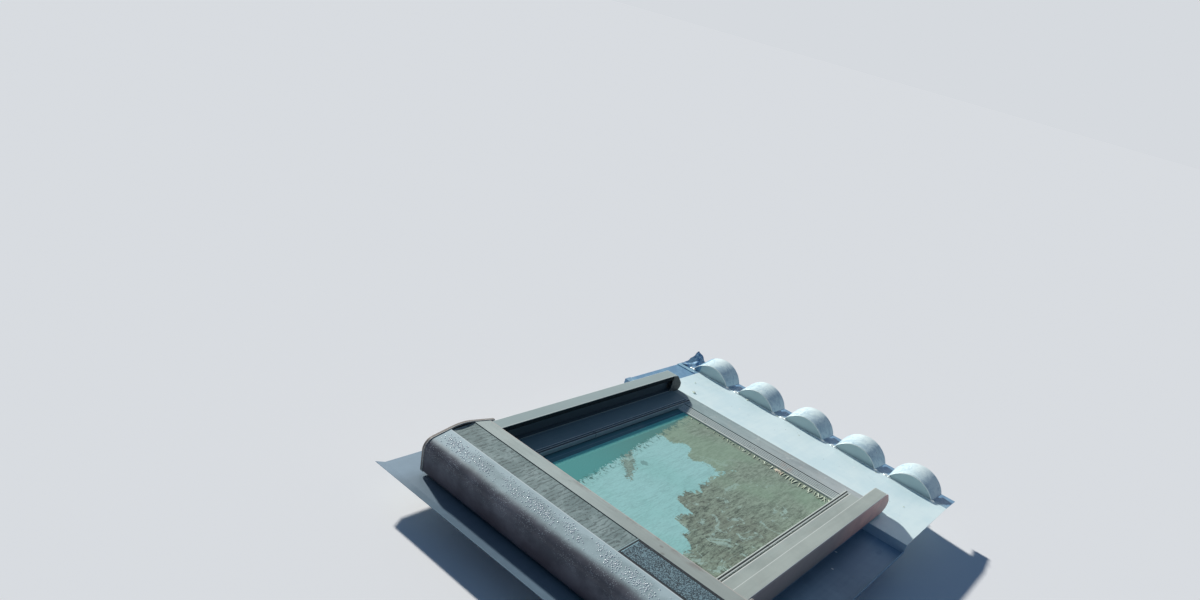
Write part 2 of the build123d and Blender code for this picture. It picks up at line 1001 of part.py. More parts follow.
def panel_face(gap):
    rim = panel_rim + gap
    y0 = back + recess_start + rim
    y1 = back + recess_start + recess_long - rim
    start = back + recess_start + cap_inset
    span = recess_long - cap_inset * 2
    z0, z1 = top_at(start), top_at(start + span)
    fall = (z1 - z0) / span
    za = z0 + fall * (rim - cap_inset) - recess_deep
    zb = z1 - fall * (rim - cap_inset) - recess_deep
    low, high = panel_thick - panel_glass, panel_thick
    points = [(y0, za + low), (y0, za + high), (y1, zb + high), (y1, zb + low)]
    return across(points, panel_end + rim, panel_split - rim)


def battery_pack():
    y1 = box_rear - box_heel - battery_back
    y0 = y1 - battery_deep
    z0 = box_bottom + box_sheet
    z1 = z0 + battery_high
    x0 = battery_end_gap - box_half
    x1 = x0 + battery_long
    r = battery_round
    return across([(y0, z0), (y0, z1, r), (y1, z1, r), (y1, z0)], x0, x1)


# Roller inside the box
def tube_ends():
    return tube_end_gap - box_half, box_half - tube_end_gap


def roller_tube():
    x0, x1 = tube_ends()
    body = rod_x(x0, x1, roll_y, roll_height, tube_radius)
    body -= rod_x(x0 + tube_plug, x1, roll_y, roll_height, tube_radius - tube_wall)
    return body - rod_x(x0, x0 + tube_plug, roll_y, roll_height, idler_pin + fit)


def idler_bearing():
    x0 = -box_half
    t0 = tube_ends()[0]
    side = idler_size / 2
    y, z = roll_y, roll_height
    body = block(x0, t0 - motor_slack, y - side, y + side, z - side, z + side)
    return body + rod_x(x0, t0 + tube_plug - motor_slack, y, z, idler_pin)


def tube_motor():
    x1 = box_half
    t1 = tube_ends()[1]
    side = idler_size / 2
    y, z = roll_y, roll_height
    bore = tube_radius - tube_wall
    body = block(t1 + motor_slack, x1, y - side, y + side, z - side, z + side)
    body += rod_x(t1 - motor_crown, t1 + motor_slack, y, z, bore - fit)
    return body + rod_x(t1 - motor_long, t1 - motor_crown, y, z, bore - motor_slack)


def curtain_roll():
    start = tube_radius + curtain_clear
    steps = int(curtain_turns * slats_per_turn)
    outer, inner = [], []
    for i in range(steps + 1):
        angle = i * 2 * math.pi / slats_per_turn
        flat = start + slat_pitch * i / slats_per_turn
        low = flat / math.cos(math.pi / slats_per_turn)
        high = low + slat_thick
        for reach, points in ((low, inner), (high, outer)):
            y = roll_y + reach * math.cos(angle)
            z = roll_height + reach * math.sin(angle)
            points.append(Vector(-curtain_half, y, z))
    face = Face(Wire.make_polygon(outer + inner[::-1], close=True))
    return extrude(face, amount=curtain_half * 2, dir=(1, 0, 0))


def end_bar():
    y1 = back - end_bar_back
    y0 = y1 - end_bar_deep
    z0, z1 = end_bar_low, end_bar_low + end_bar_high
    r = end_bar_high / 2 - fit
    outer = [(y0, z0, r), (y0, z1, r), (y1, z1), (y1, z0)]
    t = end_bar_wall
    inner = [(y0 + t, z0 + t, r - t), (y0 + t, z1 - t, r - t), (y1 - t, z1 - t), (y1 - t, z0 + t)]
    wide = rail_web - rail_sheet - glide_gap
    body = across(outer, -wide, wide)
    lid = t * 2
    body -= across(inner, lid - wide, wide - lid)
    low = cover_top + rail_sheet + glide_gap
    for side in (-1, 1):
        xs = sorted((side * wide, side * (wide - glide_long)))
        body += block(xs[0], xs[1], y0 + r, y1, low, z0 + t)
    return body


nodes["frame_right"] = frame_side()
nodes["frame_left"] = frame_left()
nodes["frame_bottom"] = frame_end(foot_in, front)
nodes["frame_top"] = frame_head()
nodes["frame_seal"] = frame_seal()
nodes["striker_plate"] = striker_plate()
pair("pivot_plate", pivot_plate())
pair("frame_cover", frame_cover_side())
nodes["frame_cover_bottom"] = frame_cover_foot()
nodes["sash_right"] = sash_side()
nodes["sash_left"] = sash_left()
nodes["sash_bottom"] = sash_end(sash_front, foot_edge)
nodes["sash_top"] = sash_top()
nodes["inner_pane"] = glass_plate(inner_low, inner_high)
nodes["outer_pane"] = glass_plate(outer_low, outer_high)
nodes["glass_spacer"] = ring(spacer_inset, spacer_width, inner_high, outer_low)
nodes["glazing_seal"] = ring(0, tape_width, glass_seat, inner_low)
pair("sash_cover", sash_cover_side())
nodes["sash_cover_bottom"] = sash_cover_foot()
nodes["sash_cover_top"] = sash_cover_head()
pair("pivot_stud", pivot_stud())
nodes["barrel_bolt"] = barrel_bolt()
nodes["bolt_guide"] = bolt_guide()
nodes["lock_case"] = lock_case()
nodes["lock_latch"] = lock_latch()
nodes["control_bar"] = control_bar()
pair("bar_bracket", bar_bracket())
for name, y in (("front", -hole_y), ("back", hole_y)):
    pair("bracket_" + name, Pos(0, y, 0) * bracket())
nodes["bracket_screws"] = bracket_screws()
nodes["apron"] = apron()
nodes["side_gutter_right"] = side_gutter(gutter_right)
nodes["side_gutter_left"] = flip(side_gutter(gutter_left))
nodes["back_gutter"] = back_gutter()
pair("guide_rail", guide_rail())
pair("rail_cap", rail_cap())
pair("rail_brush", rail_brush())
nodes["shutter_casing"] = shutter_casing()
nodes["casing_base"] = casing_base()
pair("casing_end", casing_end())
nodes["recess_cover"] = recess_cover()
nodes["solar_frame"] = solar_frame()
nodes["solar_cell"] = panel_face(panel_gap)
nodes["battery_pack"] = battery_pack()
nodes["roller_tube"] = roller_tube()
nodes["idler_bearing"] = idler_bearing()
nodes["tube_motor"] = tube_motor()
nodes["curtain_roll"] = curtain_roll()
nodes["end_bar"] = end_bar()

for name, part in nodes.items():
    export_step(part, "parts/" + name + ".step")
print("nodes", len(nodes))
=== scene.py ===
import math
import random

import bpy
from mathutils import Matrix, Vector


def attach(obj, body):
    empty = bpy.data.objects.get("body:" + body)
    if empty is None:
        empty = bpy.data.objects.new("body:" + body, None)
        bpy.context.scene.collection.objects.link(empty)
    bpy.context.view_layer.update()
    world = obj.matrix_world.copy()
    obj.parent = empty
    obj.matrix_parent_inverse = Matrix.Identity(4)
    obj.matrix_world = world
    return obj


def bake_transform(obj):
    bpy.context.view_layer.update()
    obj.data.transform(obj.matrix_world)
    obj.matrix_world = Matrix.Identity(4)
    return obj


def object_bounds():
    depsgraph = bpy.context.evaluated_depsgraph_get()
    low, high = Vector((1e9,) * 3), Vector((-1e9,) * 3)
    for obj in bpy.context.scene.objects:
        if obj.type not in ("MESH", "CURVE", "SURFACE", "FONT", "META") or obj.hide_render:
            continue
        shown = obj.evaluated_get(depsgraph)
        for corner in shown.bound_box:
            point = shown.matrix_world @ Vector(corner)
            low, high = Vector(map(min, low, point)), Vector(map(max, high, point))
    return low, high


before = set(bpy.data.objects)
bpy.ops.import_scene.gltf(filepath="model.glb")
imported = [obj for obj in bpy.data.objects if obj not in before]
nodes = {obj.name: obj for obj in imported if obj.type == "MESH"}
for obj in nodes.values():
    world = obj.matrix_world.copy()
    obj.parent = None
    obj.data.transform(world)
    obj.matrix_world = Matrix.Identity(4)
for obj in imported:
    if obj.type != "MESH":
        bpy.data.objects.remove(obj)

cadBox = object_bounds()
print("frame loaded:", len(nodes), "nodes")


# shader maths
class Wire:
    # a socket that takes part in arithmetic
    def __init__(self, graph, socket):
        self.graph = graph
        self.socket = socket

    def math(self, operation, first, second=None):
        inputs = {0: first} if second is None else {0: first, 1: second}
        return self.graph.add("Math", {"operation": operation}, inputs)

    def __add__(self, other):
        return self.math("ADD", self, other)

    def __radd__(self, other):
        return self.math("ADD", other, self)

    def __sub__(self, other):
        return self.math("SUBTRACT", self, other)

    def __rsub__(self, other):
        return self.math("SUBTRACT", other, self)

    def __mul__(self, other):
        return self.math("MULTIPLY", self, other)

    def __rmul__(self, other):
        return self.math("MULTIPLY", other, self)

    def __truediv__(self, other):
        return self.math("DIVIDE", self, other)

    def __rtruediv__(self, other):
        return self.math("DIVIDE", other, self)

    def __abs__(self):
        return self.math("ABSOLUTE", self)

    def __pow__(self, power):
        return self.math("POWER", self, power)

    def high(self, other):
        return self.math("MAXIMUM", self, other)

    def folded(self, width):
        # runs up to width and back again, over and over
        return self.math("PINGPONG", self, width)

    def beside(self, output):
        # another output of the same node
        return Wire(self.graph, self.socket.node.outputs[output])


def tone(red, green, blue):
    # a colour written from 0 to 255, as the shader wants it
    def linear(part):
        part = part / 255
        return part / 12.92 if part <= 0.04045 else ((part + 0.055) / 1.055) ** 2.4
    return (linear(red), linear(green), linear(blue), 1.0)


class Graph:
    # a node tree and the one way to add a node to it
    def __init__(self, tree):
        self.tree = tree

    def add(self, kind, settings=None, inputs=None, output=0):
        node = self.tree.nodes.new("ShaderNode" + kind)
        for key, value in (settings or {}).items():
            setattr(node, key, value)
        for key, value in (inputs or {}).items():
            self.feed(node.inputs[key], value)
        return Wire(self, node.outputs[output])

    def feed(self, socket, value):
        if isinstance(value, Wire):
            self.tree.links.new(value.socket, socket)
        else:
            written = socket.type == "RGBA" and len(value) == 3
            socket.default_value = tone(*value) if written else value


class Finish(Graph):
    # one procedural material and the few nodes it is written with
    def __init__(self, name, **fixed):
        self.material = bpy.data.materials.new(name)
        self.material.use_nodes = True
        super().__init__(self.material.node_tree)
        self.shader = self.tree.nodes["Principled BSDF"]
        self.surface(**fixed)
        self.place = self.add("TexCoord", output="Object")
        self.x = self.add("SeparateXYZ", {}, {0: self.place})
        self.y = self.x.beside(1)
        self.z = self.x.beside(2)

    def surface(self, **inputs):
        for key, value in inputs.items():
            self.feed(self.shader.inputs[key.replace("_", " ")], value)

    def bump(self, height, strength, distance):
        inputs = {"Strength": strength, "Distance": distance, "Height": height}
        self.surface(Normal=self.add("Bump", {}, inputs))

    def stretched(self, stretch):
        return self.add("VectorMath", {"operation": "MULTIPLY"}, {0: self.place, 1: stretch})

    def noise(self, scale, detail=3.0, rough=0.55, warp=0.0, stretch=(1, 1, 1)):
        inputs = {"Vector": self.stretched(stretch), "Scale": scale, "Detail": detail, "Roughness": rough,
                  "Distortion": warp}
        return self.add("TexNoise", {}, inputs)

    def waves(self, scale, direction, warp, detail, stretch, fine):
        inputs = {"Vector": self.stretched(stretch), "Scale": scale, "Distortion": warp, "Detail": detail,
                  "Detail Scale": fine}
        return self.add("TexWave", {"bands_direction": direction}, inputs, 1)

    def ease(self, value, start, end):
        # 0 up to start, 1 from end on
        settings = {"interpolation_type": "SMOOTHSTEP", "clamp": True}
        return self.add("MapRange", settings, {0: value, 1: start, 2: end, 3: 0.0, 4: 1.0})

    def fade(self, value, start, end):
        # 1 up to start, 0 from end on
        return 1.0 - self.ease(value, start, end)

    def line(self, value, at, half, soft=0.0006):
        # 1 near value == at, fading out over soft
        return self.fade(abs(value - at), half, half + soft)

    def mix(self, factor, first, second):
        return self.add("Mix", {"data_type": "RGBA"}, {0: factor, 6: first, 7: second}, 2)

    def layered(self, look, colour, *layers):
        # each layer is a mask and the colour that it lays on, or that colour's name in the look
        for mask, over in layers:
            colour = self.mix(mask, colour, look[over] if isinstance(over, str) else over)
        return colour

    def scaled(self, colour, factor):
        grey = self.add("CombineColor", {}, {0: factor, 1: factor, 2: factor})
        settings = {"data_type": "RGBA", "blend_type": "MULTIPLY"}
        return self.add("Mix", settings, {0: 1.0, 6: colour, 7: grey}, 2)

    def specks(self, scale, size, share, shift=(0, 0, 0)):
        # round specks: cells smaller than size, thinned out to a share of them
        moved = self.add("VectorMath", {"operation": "ADD"}, {0: self.place, 1: shift})
        near = self.add("TexVoronoi", {"feature": "F1"}, {"Vector": moved, "Scale": scale})
        pick = self.add("SeparateColor", {}, {0: near.beside(1)})
        return self.fade(near, size * 0.6, size) * self.fade(pick, share * 0.9, share)


def plainFinish(name, look, **fixed):
    # one grain tints the surface and, where the look says so, roughens and raises it
    f = Finish(name, **fixed)
    grain = f.noise(*look["grain"])
    tint = f.ease(grain, *look["ease"]) if "ease" in look else grain
    f.surface(Base_Color=f.mix(tint, look["dark"], look["light"]))
    if "rough" in look:
        f.surface(Roughness=look["rough"][0] + grain * look["rough"][1])
    if "bump" in look:
        f.bump(grain, *look["bump"])
    return f


def dress(finish, *names):
    # a name with a star stands for the left and the right piece
    for name in names:
        for side in ("left", "right") if "*" in name else ("",):
            for place in nodes[name.replace("*", side)].material_slots:
                place.material = finish.material


# coated aluminium
coatLook = {
    "light": (176, 187, 183),
    "dark": (160, 171, 167),
    "dust": (186, 184, 176),
    "grime": (84, 84, 84),
    "pale": (222, 228, 224),
    "gap": (20, 24, 28),
    "roughness": 0.5,
    "gloss": 0.2,
    "grainDepth": 0.0004,
}


def coatFinish(name, look, streakAlong, grimeShare, dustShare):
    f = Finish(name, Metallic=0.0, IOR=1.5, Specular_IOR_Level=look["gloss"])
    stretch = (1.0, 0.06, 1.0) if streakAlong == "Y" else (0.06, 1.0, 1.0)
    cloudy = f.noise(7.0, 4.0, 0.6)
    streaky = f.noise(90.0, 3.0, 0.6, 0.3, stretch)
    fine = f.noise(900.0, 2.0, 0.6)
    colour = f.mix(f.ease(cloudy * 0.7 + streaky * 0.3, 0.34, 0.66), look["dark"], look["light"])
    colour = f.scaled(colour, 0.95 + fine * 0.10)
    dusty = f.ease(f.noise(26.0, 5.0, 0.7), 0.52, 0.72) * dustShare
    palePoints = f.specks(420.0, 0.22, 0.10)
    brownPoints = f.specks(260.0, 0.20, 0.06, (3.1, 1.7, 0.4))
    colour = f.layered(
        look, colour,
        (dusty, "dust"),
        (palePoints * 0.45, "pale"),
        (brownPoints * grimeShare * 1.4, "grime"))
    rough = look["roughness"] + (fine - 0.5) * 0.12 + dusty * 0.3
    return f, colour, rough, fine


def finishCoat(f, colour, rough, fine, strength=0.05):
    f.surface(Base_Color=colour, Roughness=rough)
    f.bump(fine, strength, coatLook["grainDepth"])


# side covers of the frame: painted shade on the +x side, a painted highlight along the inner lip and a faint
# seam
sideLook = dict(
    coatLook, gloss=0.1, shade=(56, 110, 128), shadeAt=(0.28, 0.30), lip=0.3224, seam=0.3790,
    seamTone=(82, 86, 88)
)


def sideCovers():
    look = sideLook
    f, colour, rough, fine = coatFinish("sideCoverCoat", look, "Y", 0.3, 0.2)
    # painted shade under the +x rail and a painted highlight along the lip
    colour = f.layered(
        look, colour,
        (f.ease(f.x, *look["shadeAt"]) * 0.55, "shade"),
        (f.line(abs(f.x), look["lip"], 0.0010) * 0.9, "pale"),
        (f.line(abs(f.x), look["seam"], 0.0005) * 0.5, "seamTone"))
    finishCoat(f, colour, rough, fine)
    dress(f, "frame_cover_*")


sideCovers()

# sash bars: painted shade on the +x side, painted highlights on two ribs with painted shade in the groove
# between them, and a joint across
barLook = dict(
    coatLook, light=(180, 192, 188), dark=(164, 176, 173), gloss=0.1, shade=(56, 110, 128),
    shadeAt=(0.28, 0.30), innerRib=0.3052, outerRib=0.3148, groove=0.3100, grooveTone=(26, 31, 34),
    joint=0.077
)


def sashBars():
    look = barLook
    f, colour, rough, fine = coatFinish("sashBarCoat", look, "Y", 0.25, 0.12)
    # painted shade on the +x side, painted highlights on the ribs, painted shade in the groove
    colour = f.layered(
        look, colour,
        (f.ease(f.x, *look["shadeAt"]) * 0.5, "shade"),
        (f.line(abs(f.x), look["innerRib"], 0.0009) * 0.6, "pale"),
        (f.line(abs(f.x), look["outerRib"], 0.0011) * 0.8, "pale"),
        (f.line(abs(f.x), look["groove"], 0.0020) * 0.92, "grooveTone"),
        (f.line(f.y, look["joint"], 0.0007) * 0.9, "gap"))
    finishCoat(f, colour, rough, fine)
    dress(f, "sash_cover_*")


sashBars()

# covers across the foot: damp smears and dirt in the joint; painted highlights along the outer edge and the
# lip; painted shade towards +x and painted light towards -x; the ribbed slope painted paler as light, with
# painted shade between its ribs
footLook = dict(
    coatLook, light=(172, 184, 184), dark=(154, 166, 168), dust=(190, 186, 180), smear=(128, 138, 142),
    drip=(210, 216, 214), blotch=(88, 88, 90), crumb=(78, 72, 68), stepTone=(104, 110, 112),
    bandTone=(120, 130, 130), jointTone=(62, 68, 70), shade=(122, 164, 166), bright=(198, 206, 208),
    slopeDark=(190, 206, 204), slopeLight=(222, 230, 226), ribGap=(104, 112, 110), husk=(92, 86, 76),
    lipTone=(206, 214, 208), rust=(196, 164, 152)
)
footPlace = {
    "edge": -0.5003, "band": -0.4915, "step": -0.4636, "joint": -0.420, "slope": -0.418, "ribs": -0.411,
    "lip": -0.3838, "pitch": 0.007, "rust": -0.118
}


def footCovers():
    look, at = footLook, footPlace
    f, colour, rough, fine = coatFinish("footCoverCoat", look, "X", 0.9, 0.35)
    smear = f.ease(f.noise(26.0, 5.0, 0.65, 0.6, (0.5, 1.0, 1.0)), 0.50, 0.66)
    drip = f.ease(f.noise(34.0, 4.0, 0.6, 0.9, (1.0, 0.45, 1.0)), 0.58, 0.68)
    blotches = f.specks(75.0, 0.2, 0.08, (0.7, 0.2, 1.3))
    crumbs = f.specks(160.0, 0.24, 0.12, (1.9, 4.2, 0.3))
    slope = f.ease(f.y, at["slope"], at["slope"] + 0.002)
    between = f.fade((f.y - at["ribs"]).folded(at["pitch"] / 2), 0.0008, 0.0020)
    husks = f.specks(120.0, 0.30, 0.16, (0.4, 1.2, 2.3)) * slope
    rusty = f.line(f.x, at["rust"], 0.012, 0.022) * slope * f.ease(f.noise(40.0, 4.0, 0.6), 0.36, 0.6)
    # painted highlights on the outer edge and the lip, painted shade towards +x, painted light towards -x
    # and on the slope, painted shade between the ribs
    colour = f.layered(
        look, colour,
        (smear * 0.45, "smear"),
        (drip * 0.5, "drip"),
        (blotches * 0.7, "blotch"),
        (crumbs * 0.5, "crumb"),
        (f.line(f.y, at["edge"], 0.0012, 0.0015) * 0.4, "pale"),
        (f.line(f.y, at["step"], 0.0006) * 0.25, "stepTone"),
        (f.line(f.y, at["band"], 0.0016, 0.002) * 0.45, "bandTone"),
        (f.line(f.y, at["joint"], 0.0024, 0.0016) * 0.9, "jointTone"),
        (f.ease(f.x, -0.15, 0.25) * 0.3, "shade"),
        (f.fade(f.x, -0.33, -0.1) * 0.4, "bright"),
        (slope * 0.85, f.mix(fine, look["slopeDark"], look["slopeLight"])),
        (slope * between * 0.75, "ribGap"),
        (husks * 0.6, "husk"),
        (f.line(f.y, at["lip"], 0.0016, 0.0016) * 0.7, "lipTone"),
        (rusty * 0.3, "rust"))
    finishCoat(f, colour, rough, fine, 0.08)
    dress(f, "frame_cover_bottom", "sash_cover_bottom", "sash_cover_top")


footCovers()


# guide rails: a weathered coat, painted highlights along the edges of the top, the top of the +x rail
# cooler; the outer wall painted dark as shade, warm as the tiles' reflection, and stained
railLook = dict(
    coatLook, light=(176, 186, 180), dark=(162, 172, 167), cool=(150, 172, 176), tileReflection=(236, 176, 166),
    stain=(92, 72, 92), wallShare=0.8, railWall=((92, 86, 92), (120, 112, 118)),
    capWall=((116, 106, 108), (146, 134, 136)), channel=(74, 90, 98), innerFace=(52, 56, 60)
)
railPlace = {
    "inner": 0.3853, "outer": 0.4240, "wall": (0.4244, 0.4249), "top": (0.106, 0.112),
    "wallHeight": (0.05, 0.118), "channel": (0.3868, 0.4066), "channelTop": (0.1155, 0.1165),
    "capFace": (0.3847, 0.3852), "capTop": (0.112, 0.115)
}


def railFinish(name, wall):
    look, at = railLook, railPlace
    f, colour, rough, fine = coatFinish(name, look, "Y", 0.3, 0.2)
    onTop = f.ease(f.z, *at["top"])
    # painted highlights along the inner and outer edges of the top
    edges = f.line(abs(f.x), at["inner"], 0.0008).high(f.line(abs(f.x), at["outer"], 0.0008))
    # painted warm reflection of the tiles, towards the foot and on the -x side, over a wall tone painted
    # dark as shade and darker towards the bottom
    tileReflectionMask = f.fade(f.y, -0.44, 0.0) * f.fade(f.x, 0.0, 0.1)
    stained = f.ease(f.noise(20.0, 4.0, 0.6), 0.40, 0.62)
    wallTone = f.layered(
        look, f.mix(f.ease(f.z, *at["wallHeight"]), *wall),
        (tileReflectionMask * 0.85, "tileReflection"), (stained * 0.25, "stain"))
    colour = f.layered(
        look, colour,
        (f.ease(f.x, 0.3, 0.31) * onTop * 0.6, "cool"),
        (edges * onTop * 0.7, "pale"),
        (f.ease(abs(f.x), *at["wall"]) * look["wallShare"], wallTone))
    return f, colour, rough, fine


def rails():
    look, at = railLook, railPlace
    f, colour, rough, fine = railFinish("railCoat", look["railWall"])
    near, far = at["channel"]
    # painted shade inside the channel, below its top
    channel = f.ease(abs(f.x), near, near + 0.0006) * f.fade(abs(f.x), far, far + 0.0006)
    colour = f.mix(channel * f.fade(f.z, *at["channelTop"]), colour, look["channel"])
    finishCoat(f, colour, rough, fine)
    dress(f, "guide_rail_*")


def railCaps():
    look, at = railLook, railPlace
    f, colour, rough, fine = railFinish("railEndCoat", look["capWall"])
    # painted shade on the inner face of the cap
    innerFace = f.fade(abs(f.x), *at["capFace"]) * f.fade(f.z, *at["capTop"])
    finishCoat(f, f.mix(innerFace * 0.9, colour, look["innerFace"]), rough, fine)
    dress(f, "rail_cap_*")


rails()
railCaps()

brushLook = {
    "dark": (20, 26, 30), "light": (50, 60, 66), "grain": (1400.0, 2.0, 0.6, 0.0, (1.0, 1.0, 0.05)),
    "ease": (0.35, 0.7), "bump": (0.5, 0.0008)
}
bristles = plainFinish("brushBristles", brushLook, Roughness=0.9, Specular_IOR_Level=0.1)
dress(bristles, "rail_brush_*")


# zinc
zincLook = {
    "light": (226, 245, 247),
    "dark": (212, 236, 241),
    "oxide": (184, 204, 210),
    "scratch": (240, 250, 250),
    "blue": (92, 140, 178),
    "spot": (112, 120, 124),
    "drop": (246, 252, 252),
    "roughness": 0.45,
}


def zincFinish(name, look, cloud, spots):
    f = Finish(name, Metallic=0.12, IOR=1.5, Specular_IOR_Level=0.4)
    cloudy = f.noise(cloud, 5.0, 0.6, 0.4)
    rolled = f.noise(60.0, 3.0, 0.5, 0.0, (1.0, 0.05, 1.0))
    fine = f.noise(500.0, 2.0, 0.6)
    oxide = f.ease(f.noise(18.0, 6.0, 0.72, 0.8), 0.58, 0.76)
    hair = f.line(f.waves(3.0, "DIAGONAL", 18.0, 3.0, (1, 1, 1), 0.6), 0.5, 0.004, 0.006)
    colour = f.mix(f.ease(cloudy * 0.8 + rolled * 0.2, 0.36, 0.64), look["dark"], look["light"])
    colour = f.layered(
        look, colour,
        (oxide * spots, "oxide"),
        (hair * 0.3 * f.ease(cloudy, 0.5, 0.6), "scratch"),
        (f.specks(55.0, 0.12, 0.10, (0.3, 2.2, 0.1)) * 0.7, "spot"),
        (f.specks(34.0, 0.16, 0.12, (1.3, 0.2, 1.1)) * 0.6, "drop"))
    rough = look["roughness"] + (fine - 0.5) * 0.1 + oxide * 0.12
    return f, colour, rough, cloudy * 0.5 + fine * 0.1


# apron: painted highlight on the caps' tops, painted shade low in the cap zone and bluish stains on the
# caps; the strips between the caps painted blue as shade; the sheet at the +x end painted blue as shade, and
# crumpled; painted shade on the riser
apronLook = dict(
    zincLook, stain=(116, 160, 186), lowBand=(92, 140, 168), capTop=(240, 254, 253),
    discDark=(174, 198, 200), discLight=(200, 218, 218), discFoot=(110, 130, 138),
    valleyDark=(64, 112, 154), valleyLight=(134, 170, 190), sideDark=(72, 124, 164),
    sideLight=(126, 176, 200)
)
apronPlace = {
    "caps": (-0.7645, -0.7638), "disc": -0.7635, "sheet": (0.0366, 0.0372), "low": (0.058, 0.098),
    "high": (0.082, 0.098), "discFoot": (0.036, 0.052), "valley": (0.0362, 0.0368),
    "side": (0.4565, 0.4575), "riser": (0.0335, 0.0345)
}


def apronSheet():
    look, at = apronLook, apronPlace
    f, colour, rough, height = zincFinish("apronZinc", look, 5.0, 0.3)
    capZone = f.fade(f.y, *at["caps"])
    disc = f.line(f.y, at["disc"], 0.0009, 0.0003) * f.ease(f.z, *at["sheet"])
    stain = f.ease(f.noise(30.0, 5.0, 0.7, 1.2), 0.42, 0.62)
    valley = capZone * f.fade(f.z, *at["valley"])
    crumpled = f.ease(f.noise(60.0, 5.0, 0.7, 1.0), 0.38, 0.62)
    discTone = f.mix(f.noise(22.0, 4.0, 0.6), look["discDark"], look["discLight"])
    discTone = f.mix(f.fade(f.z, *at["discFoot"]) * 0.35, discTone, look["discFoot"])
    sideTone = f.mix(f.ease(f.noise(24.0, 5.0, 0.7, 0.8), 0.4, 0.62), look["sideDark"], look["sideLight"])
    # painted highlight on the caps' tops; painted shade low in the cap zone, in the valleys, beyond the +x
    # seam and on the riser
    colour = f.layered(
        look, colour,
        (capZone * 0.4 * stain, "stain"),
        (capZone * f.fade(f.z, *at["low"]) * 0.25, "lowBand"),
        (capZone * f.ease(f.z, *at["high"]) * 0.75, "capTop"),
        (disc, discTone),
        (valley * 0.85, f.mix(crumpled, look["valleyDark"], look["valleyLight"])),
        (f.ease(f.x, *at["side"]) * 0.85, sideTone),
        (f.fade(f.z, *at["riser"]) * 0.6, "blue"))
    f.surface(Base_Color=colour, Roughness=rough)
    f.bump(height + crumpled * valley * 0.6, 0.25, 0.004)
    dress(f, "apron")


apronSheet()

# gutters: painted blue as shade, darker still under the rails, lighter towards the foot, less blue and
# greyer on the sunny side and at the back
gutterLook = dict(
    zincLook, light=(112, 146, 172), dark=(84, 118, 146), oxide=(70, 100, 126), grey=(148, 164, 174),
    wall=(0.412, 0.47), foot=(-0.45, 0.1), back=(0.488, 0.55)
)


def gutters():
    look = gutterLook
    f, colour, rough, height = zincFinish("gutterZinc", look, 3.0, 0.5)
    # the blue of the zinc is painted shade, greyed on the sunny side and at the back
    greyed = (f.ease(f.x, 0.1, 0.4) * 0.55).high(f.ease(f.y, *look["back"]) * 0.35)
    underRail = 0.74 + f.ease(abs(f.x), *look["wall"]) * 0.26
    footward = 1.35 - f.ease(f.y, *look["foot"]) * 0.35
    colour = f.scaled(f.mix(greyed, colour, look["grey"]), underRail * footward)
    f.surface(Base_Color=colour, Roughness=rough)
    f.bump(height, 0.3, 0.004)
    dress(f, "side_gutter_*", "back_gutter")


gutters()


# shutter box: dry strip in front, painted sheen behind the recess, then damp, then painted shade on the
# rear; drops on the shoulder
boxLook = dict(
    coatLook, light=(176, 188, 185), dark=(160, 172, 169), sheenDark=(166, 186, 192),
    sheenLight=(182, 202, 206), dampDark=(146, 164, 168), dampLight=(164, 184, 188),
    endGlow=(188, 208, 214), rearShadeDark=(80, 82, 90), rearShadeLight=(106, 108, 116), bead=(206, 220, 226),
    low=(98, 76, 80), stripDull=(128, 134, 130), blemish=(110, 108, 104), dampEdge=(126, 118, 114),
    frontLip=(206, 190, 184), recessWall=(84, 94, 96), recessLip=(216, 226, 228)
)
# places in y, in girth, which runs from the front strip over the top and down the rear, or in height
boxPlace = {
    "girthFrom": 0.125, "wet": (0.584, 0.600), "under": (0.632, 0.668), "beadsFrom": (0.590, 0.62),
    "beadsTo": (0.67, 0.73), "low": (0.70, 0.76), "front": (0.491, 0.4925), "dampEdge": (0.438, 0.456),
    "frontLip": 0.4305, "recess": (0.4915, 0.5765), "recessLip": 0.5782
}


